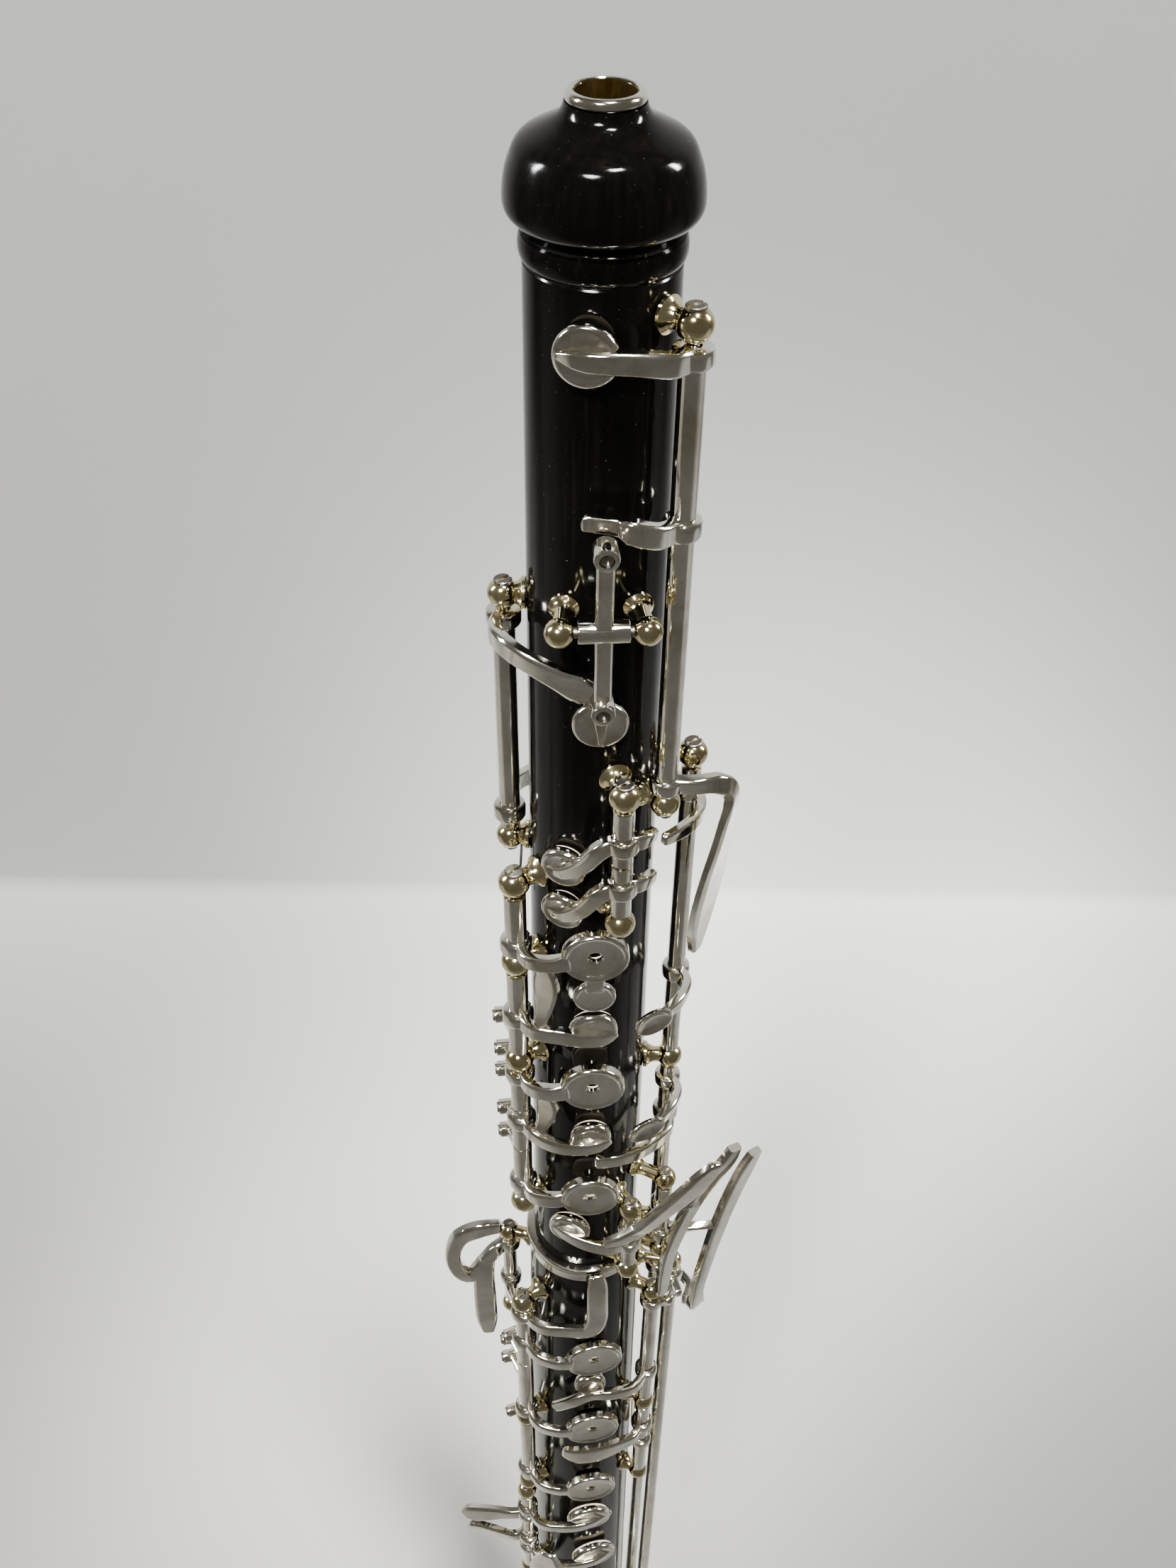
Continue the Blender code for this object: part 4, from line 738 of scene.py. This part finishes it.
def rings():
    lip = [(0.0, 4.12), (0.12, 4.34), (0.35, 4.52), (0.6, 4.6), (0.85, 4.65), (1.1, 4.62), (1.25, 4.5),
           (1.25, 4.2)]
    turned("reed_socket.lip", "silver", lip, [(0.0, 3.78), (0.12, 3.66), (1.25, 3.64)], ["reed_socket"])
    turned("reed_socket.lining", "nickel_silver", [(0.3, 3.63), (1.25, 3.63), (1.26, 4.3), (19.8, 3.8)],
           [(0.3, 3.6), (12.0, 3.3), (19.8, 2.7)])
    band = [(0, 12.0), (0.15, 12.25), (0.5, 12.4), (1.0, 12.4), (1.15, 12.28), (1.3, 12.28), (1.45, 12.38),
            (3.5, 12.38), (3.7, 12.4), (4.0, 12.25), (4.2, 12.0)]
    turned("middle_ring.metal", "silver", [(MIDDLE + down, radius) for down, radius in band],
           [(MIDDLE, 10.4), (MIDDLE + 4.2, 10.4)], ["middle_ring"])
    stretch, step = 2.05, 4.0
    wide_band = [(BELL_TOP + down * stretch, radius + step) for down, radius in band]
    turned("bell_ring.metal", "silver", wide_band, [(BELL_TOP, 12.7), (BELL_TOP + 4.2 * stretch, 12.7)],
           ["bell_ring"])
    turned("middle_tenon.cork", "cork",
           [(234.0, 9.6), (234.3, 9.85), (234.8, 9.95), (248.2, 9.95), (248.7, 9.85), (249.0, 9.6)],
           [(234.0, 9.3), (249.0, 9.3)], ["middle_tenon_cork"])
    turned("bell_tenon.cork", "cork",
           [(472.6, 12.0), (472.9, 12.2), (473.4, 12.3), (482.6, 12.3), (483.1, 12.2), (483.4, 12.0)],
           [(472.6, 11.6), (483.4, 11.6)], ["bell_tenon_cork"])


def thumb_rest():
    """Plate on the back of the lower joint, with its screws and the hooked shelf for the right thumb."""
    plate_bar = bar([(180, 13.2, 256.0, 4.0, 1.2), (180, 13.2, 260.0, 9.0, 1.4),
                     (180, 13.3, 274.0, 9.0, 1.4), (180, 13.3, 279.0, 4.0, 1.2)])
    shelf = bar([(180, 13.4, 262.0, 8.0, 1.6), (180, 17.5, 262.6, 9.5, 1.8), (180, 22.0, 265.0, 10.0, 1.8),
                 (180, 25.0, 270.0, 9.0, 1.7)])
    rest = show([plate_bar, shelf], "thumb_rest.metal", "silver", stands_for=["thumb_rest"])
    for number, depth in enumerate((258.6, 276.2), 1):
        head = slotted(polar(180, 13.7, depth), outward(180), 1.3, 0.5)
        screw = show(head, f"thumb_rest.screw_{number}", "steel")
        screw.parent = rest


ROCKER_REACH = 14.9  # distance of its axle from the bore's axis
ROCKER_DEPTH = 63.6
ROCKER_SCREWS = (50.6, 75.8)  # depths of its two screws
ROCKER_BARRELS = (14.3, 13.9)  # where the screws' barrels begin
ROCKER_TOP = 17.9  # where they end
ROCKER_BARREL = 1.75  # their radius
ROCKER_HUB = 3.5  # half the length of the tube on the axle
ROCKER_POSTS = 5.9  # the posts stand this far to the sides
ROCKER_BALL = 2.05
ROCKER_LEAN = 0.85  # a post's foot is nearer the middle than its ball, by this factor
ROCKER_CLEARANCE = 0.3  # more than GAP, because the wood curves away under a flat foot
ROCKER_SEAT = 1.35  # from a ball's middle to its screw


def octave_rocker():
    """A see-saw across the body on its own small posts, with a screw barrel at each end."""
    side = Vector((1, 0, 0))
    pivot = polar(0, ROCKER_REACH, ROCKER_DEPTH)
    solids = [rod(pivot - side * ROCKER_HUB, pivot + side * ROCKER_HUB, 1.6),
              bar([(0, 15.6, 50.6, 2.5, 1.8), (0, 15.5, 57.0, 2.4, 1.9), (0, 15.0, 63.6, 2.5, 2.3),
                   (0, 15.5, 70.0, 2.4, 1.9), (0, 15.6, 75.8, 2.5, 1.8)])]
    cutters = [rod(pivot - side * 8, pivot + side * 8, 1.15)]
    for depth, inner in zip(ROCKER_SCREWS, ROCKER_BARRELS):
        solids.append(rod(polar(0, inner, depth), polar(0, ROCKER_TOP, depth), ROCKER_BARREL, edge=0.4))
        cutters.append(rod(polar(0, inner - 1, depth), polar(0, 20.0, depth), 1.0))
    rocker = show(solids, "octave_rocker.metal", "silver", "octave_rocker", ["octave_rocker"], cutters)
    for name, depth in zip(("rocker_screw_upper", "rocker_screw_lower"), ROCKER_SCREWS):
        stem = rod(polar(0, 14.3, depth), polar(0, 17.4, depth), 0.75)
        head = slotted(polar(0, 17.2, depth), outward(0), 0.92, 0.45, 10)
        screw = show([stem, *head], f"{name}.steel", "steel", "octave_rocker", [name])
        screw.parent = rocker


def rocker_posts():
    pivot = polar(0, ROCKER_REACH, ROCKER_DEPTH)
    ends = [pivot + Vector((side * ROCKER_POSTS, 0, 0)) for side in (-1, 1)]
    solids = []
    for end in ends:
        foot = end.x * ROCKER_LEAN
        wood_at = -sqrt(surface(ROCKER_DEPTH) ** 2 - foot ** 2)
        solids.append(post(Vector((foot, wood_at - GAP - ROCKER_CLEARANCE, end.z)), end, ROCKER_BALL))
    posts = show(solids, "rocker_posts.turned", "nickel_silver", stands_for=["rocker_posts"])
    steel = show([rod(*ends, STEEL)], "rocker_posts.steel", "steel")
    steel.parent = posts
    for end, way, label in zip(ends, (-1, 1), ("left", "right")):
        axis = Vector((way, 0, 0))
        head = slotted(end + axis * ROCKER_SEAT, axis, 1.0, 0.5)
        screw = show(head, f"rocker_posts.{label}_screw", "steel")
        screw.parent = posts


# ---- materials --------------------------------------------------------------------------------------------
class Finish:
    """A node-built material: constants on the shader, patterns from object coordinates in metres."""

    def __init__(self, name, roughness, metallic=0.0):
        self.material = bpy.data.materials.new(name)
        self.material.use_nodes = True
        self.nodes, self.links = self.material.node_tree.nodes, self.material.node_tree.links
        self.shader = self.nodes["Principled BSDF"]
        self.shader.inputs["Roughness"].default_value = roughness
        self.shader.inputs["Metallic"].default_value = metallic
        self.place = self.nodes.new("ShaderNodeTexCoord").outputs["Object"]

    def stretched(self, scale):
        mapping = self.nodes.new("ShaderNodeMapping")
        mapping.inputs["Scale"].default_value = scale
        self.links.new(self.place, mapping.inputs["Vector"])
        return mapping.outputs["Vector"]

    def noise(self, scale, detail=4.0, roughness=0.55, place=None, distortion=0.0):
        made = self.nodes.new("ShaderNodeTexNoise")
        made.inputs["Scale"].default_value = scale
        made.inputs["Detail"].default_value = detail
        made.inputs["Roughness"].default_value = roughness
        made.inputs["Distortion"].default_value = distortion
        self.links.new(place or self.place, made.inputs["Vector"])
        return made.outputs["Fac"]

    def ramp(self, value, *stops):
        """Stops are (position, grey or colour)."""
        made = self.nodes.new("ShaderNodeValToRGB")
        ramp = made.color_ramp
        while len(ramp.elements) < len(stops):
            ramp.elements.new(0.5)
        for element, (position, colour) in zip(ramp.elements, stops):
            element.position = position
            element.color = (*colour, 1) if isinstance(colour, tuple) else (colour, colour, colour, 1)
        self.links.new(value, made.inputs["Fac"])
        return made.outputs["Color"]

    def mixed(self, factor, below, above):
        made = self.nodes.new("ShaderNodeMix")
        made.data_type = "RGBA"
        if isinstance(factor, float):
            made.inputs["Factor"].default_value = factor
        else:
            self.links.new(factor, made.inputs["Factor"])
        for socket, source in (("A", below), ("B", above)):
            place = [entry for entry in made.inputs if entry.name == socket and entry.type == "RGBA"][0]
            if isinstance(source, tuple):
                place.default_value = (*source, 1)
            else:
                self.links.new(source, place)
        return [entry for entry in made.outputs if entry.type == "RGBA"][0]

    def colour(self, source):
        self.links.new(source, self.shader.inputs["Base Color"])

    def gloss(self, source):
        self.links.new(source, self.shader.inputs["Roughness"])

    def relief(self, *layers):
        """Layers are (height, strength, distance in metres)."""
        normal = None
        for height, strength, distance in layers:
            bump = self.nodes.new("ShaderNodeBump")
            bump.inputs["Strength"].default_value = strength
            bump.inputs["Distance"].default_value = distance
            self.links.new(height, bump.inputs["Height"])
            if normal:
                self.links.new(normal, bump.inputs["Normal"])
            normal = bump.outputs["Normal"]
        self.links.new(normal, self.shader.inputs["Normal"])


def grenadilla():
    """Oiled African blackwood: near black, brown streaks and fine open pores that run with the bore."""
    finish = Finish("grenadilla", 0.25)
    grain = finish.noise(1.0, 6.0, 0.6, finish.stretched((900, 900, 26)), 0.4)
    pores = finish.noise(1.0, 3.0, 0.5, finish.stretched((5200, 5200, 300)))
    wear = finish.noise(70.0, 5.0, 0.6)
    dust = finish.noise(2600.0, 2.0, 0.5)
    streaks = finish.ramp(grain, (0.35, (0.0008, 0.0007, 0.0007)), (0.6, (0.0015, 0.0012, 0.0011)),
                          (0.8, (0.0045, 0.0029, 0.0023)))
    specks = finish.ramp(dust, (0.735, 0.0), (0.78, 1.0))
    finish.colour(finish.mixed(specks, streaks, (0.05, 0.047, 0.042)))
    finish.gloss(finish.mixed(0.25, finish.ramp(wear, (0.3, 0.07), (0.7, 0.15)),
                              finish.ramp(pores, (0.35, 0.22), (0.5, 0.09))))
    finish.relief((pores, 0.05, 0.00002), (grain, 0.05, 0.00005), (wear, 0.05, 0.0003))
    finish.shader.inputs["Specular IOR Level"].default_value = 0.13
    return finish.material


def plated(name, bright, tarnished, amount, roughness):
    """Worn plate: bright metal with clouds of warm tarnish, hairline scratches and finger haze."""
    finish = Finish(name, roughness, 1.0)
    clouds = finish.noise(85.0, 7.0, 0.62, distortion=0.6)
    spots = finish.noise(750.0, 4.0, 0.6)
    hairlines = finish.noise(1.0, 2.0, 0.5, finish.stretched((700, 9000, 700)))
    haze = finish.noise(240.0, 5.0, 0.6)
    base = finish.mixed(finish.ramp(clouds, (0.42, 0.0), (0.72, amount)), bright, tarnished)
    finish.colour(finish.mixed(finish.ramp(spots, (0.62, 0.0), (0.75, amount * 0.7)), base, tarnished))
    finish.gloss(finish.mixed(0.4, finish.ramp(haze, (0.3, roughness * 0.6), (0.72, roughness * 1.8)),
                              finish.ramp(hairlines, (0.45, roughness * 0.7), (0.7, roughness * 1.9))))
    finish.relief((hairlines, 0.03, 0.00002), (clouds, 0.04, 0.0002))
    return finish.material


def steel():
    """Old screw steel: dark, grey-brown, with fine turning marks."""
    finish = Finish("steel", 0.32, 1.0)
    rust = finish.noise(520.0, 6.0, 0.65)
    lines = finish.noise(1.0, 2.0, 0.5, finish.stretched((900, 900, 9000)))
    finish.colour(finish.ramp(rust, (0.35, (0.17, 0.165, 0.16)), (0.6, (0.12, 0.105, 0.09)),
                              (0.75, (0.07, 0.05, 0.035))))
    finish.gloss(finish.ramp(rust, (0.3, 0.24), (0.7, 0.5)))
    finish.relief((lines, 0.06, 0.00003), (rust, 0.08, 0.00005))
    return finish.material


def cork():
    finish = Finish("cork", 0.85)
    cells = finish.noise(1300.0, 6.0, 0.7)
    patches = finish.noise(260.0, 4.0, 0.6)
    pale = finish.ramp(patches, (0.35, (0.46, 0.29, 0.15)), (0.65, (0.60, 0.42, 0.24)))
    finish.colour(finish.mixed(finish.ramp(cells, (0.6, 0.0), (0.72, 1.0)), pale, (0.16, 0.085, 0.04)))
    finish.gloss(finish.ramp(cells, (0.3, 0.7), (0.7, 0.95)))
    finish.relief((cells, 0.35, 0.0001), (patches, 0.2, 0.0002))
    return finish.material


def pad_skin():
    """Thin membrane over felt: cream, a little yellowed, satin, with faint wrinkles."""
    finish = Finish("pad_skin", 0.5)
    wrinkles = finish.noise(900.0, 5.0, 0.6, distortion=1.2)
    stains = finish.noise(210.0, 4.0, 0.6)
    finish.colour(finish.ramp(stains, (0.35, (0.74, 0.66, 0.50)), (0.7, (0.50, 0.40, 0.26))))
    finish.gloss(finish.ramp(wrinkles, (0.3, 0.4), (0.7, 0.62)))
    finish.relief((wrinkles, 0.25, 0.00008))
    return finish.material


MATERIALS = {
    "grenadilla": grenadilla(),
    "silver": plated("silver", (0.83, 0.805, 0.725), (0.34, 0.27, 0.16), 0.6, 0.085),
    "nickel_silver": plated("nickel_silver", (0.76, 0.68, 0.42), (0.36, 0.26, 0.11), 0.75, 0.10),
    "steel": steel(),
    "cork": cork(),
    "pad_skin": pad_skin(),
}


# ---- stage, light and camera ------------------------------------------------------------------------------
def studio_surface(name, colour):
    """Pale matte surface with one side: from behind it is clear, so the wall never hides the object."""
    finish = Finish(name, 0.75)
    mottle = finish.noise(3.0, 3.0, 0.5)
    finish.colour(finish.ramp(mottle, (0.3, tuple(c * 0.985 for c in colour)), (0.7, colour)))
    tree = finish.material.node_tree
    output = next(node for node in tree.nodes if node.type == "OUTPUT_MATERIAL")
    face, clear = tree.nodes.new("ShaderNodeNewGeometry"), tree.nodes.new("ShaderNodeBsdfTransparent")
    one_sided = tree.nodes.new("ShaderNodeMixShader")
    tree.links.new(face.outputs["Backfacing"], one_sided.inputs["Fac"])
    tree.links.new(finish.shader.outputs["BSDF"], one_sided.inputs[1])
    tree.links.new(clear.outputs["BSDF"], one_sided.inputs[2])
    tree.links.new(one_sided.outputs["Shader"], output.inputs["Surface"])
    return finish.material


def stage():
    """A pale table that curves up into a pale wall behind, square to the view."""
    half, front, start, curve, top = 2.2, -2.2, 0.43, 0.01, 2.4  # in metres, like the rest of the stage
    side, ahead = -outward(CAMERA_TURN + 90), -outward(CAMERA_TURN)
    rows = [(front, 0.0), (start, 0.0)]
    for turn in range(5, 95, 5):
        rows.append((start + curve * sin(radians(turn)), curve * (1 - cos(radians(turn)))))
    rows.append((start + curve, top))
    corners = [side * across + ahead * along + Vector((0, 0, height)) for along, height in rows
               for across in (-half, half)]
    mesh = bpy.data.meshes.new("sweep")
    mesh.from_pydata(corners, [], [(2 * i, 2 * i + 2, 2 * i + 3, 2 * i + 1) for i in range(len(rows) - 1)])
    mesh.shade_smooth()
    mesh.materials.append(studio_surface("sweep", (0.80, 0.80, 0.785)))
    sweep = bpy.data.objects.new("sweep", mesh)
    bpy.context.collection.objects.link(sweep)


def softbox(name, place, aim, size, power, spread, colour=(1, 1, 1)):
    """A lamp that lights a cone. Places and sizes are in metres, power in watts, spread in degrees."""
    data = bpy.data.lights.new(name, "AREA")
    data.shape = "RECTANGLE"
    data.size, data.size_y = size
    data.energy = power
    data.spread = radians(spread)
    data.color = colour
    light = bpy.data.objects.new(name, data)
    light.location = place
    light.rotation_euler = (Vector(aim) - Vector(place)).to_track_quat("-Z", "Y").to_euler()
    bpy.context.collection.objects.link(light)


WORLD_COLOUR = (0.60, 0.57, 0.51)
WORLD_STRENGTH = 0.22


def lights():
    """Lit wall and back of the table; small windows on the object; little light on the table in front."""
    softbox("backdrop", (0, -0.08, 1.9), (0, 0.44, 0.50), (1.4, 0.16), 3.9, 30)
    softbox("window", (-0.30, -0.70, 1.30), (0, 0, 0.46), (0.30, 0.22), 0.85, 18, (1.0, 0.99, 0.95))
    softbox("high", (0.16, -0.34, 1.60), (0, 0, 0.45), (0.22, 0.16), 0.5, 16, (1.0, 0.98, 0.91))
    softbox("side_right", (0.85, 0.10, 0.90), (0, 0, 0.50), (0.10, 0.6), 1.5, 24, (1.0, 0.95, 0.86))
    softbox("side_left", (-0.90, 0.10, 0.90), (0, 0, 0.50), (0.10, 0.6), 1.5, 24, (0.97, 0.98, 1.0))
    world = bpy.data.worlds.new("studio")
    world.use_nodes = True
    background = world.node_tree.nodes["Background"]
    background.inputs["Color"].default_value = (*WORLD_COLOUR, 1)
    background.inputs["Strength"].default_value = WORLD_STRENGTH
    bpy.context.scene.world = world


CAMERA_TURN = -3.8  # the view's own front, as an azimuth of the instrument
CAMERA_ASIDE = -0.77
CAMERA_BACK = 174.5
CAMERA_ABOVE = 55.46  # above the reed socket
CAMERA_DOWN = 42.5  # degrees below level
CAMERA_ROLL = 0.913
CAMERA_LENS = 34.5


def camera():
    ahead = -outward(CAMERA_TURN)
    across = Matrix.Rotation(radians(-90), 3, "Z") @ ahead
    place = across * CAMERA_ASIDE - ahead * CAMERA_BACK + Vector((0, 0, LENGTH + CAMERA_ABOVE))
    look = ahead * cos(radians(CAMERA_DOWN)) - Vector((0, 0, sin(radians(CAMERA_DOWN))))
    data = bpy.data.cameras.new("camera")
    data.lens = CAMERA_LENS
    data.sensor_width = 36
    data.clip_start = 0.01
    made = bpy.data.objects.new("camera", data)
    roll = Matrix.Rotation(radians(CAMERA_ROLL), 4, "Z")
    turn = look.to_track_quat("-Z", "Y").to_matrix().to_4x4()
    made.matrix_world = Matrix.Translation(place * MM) @ turn @ roll
    bpy.context.collection.objects.link(made)
    bpy.context.scene.camera = made


def main():
    wood()
    rings()
    thumb_rest()
    lines = {
        "side_octave_posts": SIDE_OCTAVE, "thumb_octave_posts": THUMB_OCTAVE, "trill_posts": TRILL,
        "upper_stack_posts": UPPER_STACK, "side_lever_posts": SIDE_LEVERS, "g_sharp_posts": G_SHARP,
        "left_little_finger_posts": LITTLE_LEFT, "side_trill_posts": SIDE_TRILL,
        "lower_stack_posts": LOWER_STACK, "f_key_posts": F_LINE, "low_b_posts": LOW_B,
        "b_flat_rod_posts": B_FLAT, "right_little_finger_posts": LITTLE_RIGHT, "bell_key_posts": BELL_LINE,
    }
    for name, line in lines.items():
        line.build(name)
    THUMB_OCTAVE.spring("thumb_octave_spring", 113.6, 15.0, 1)
    SIDE_OCTAVE.spring("side_octave_spring", 97.6, 14.0, -1)
    rocker_posts()
    octave_rocker()
    for make in (side_octave_key, thumb_octave_key, trill_keys, upper_plates, side_levers,
                 left_little_finger_keys, side_trill_key, lower_plates, f_keys, low_keys,
                 right_little_finger_keys, bell_key):
        make()
    stage()
    lights()
    camera()


main()
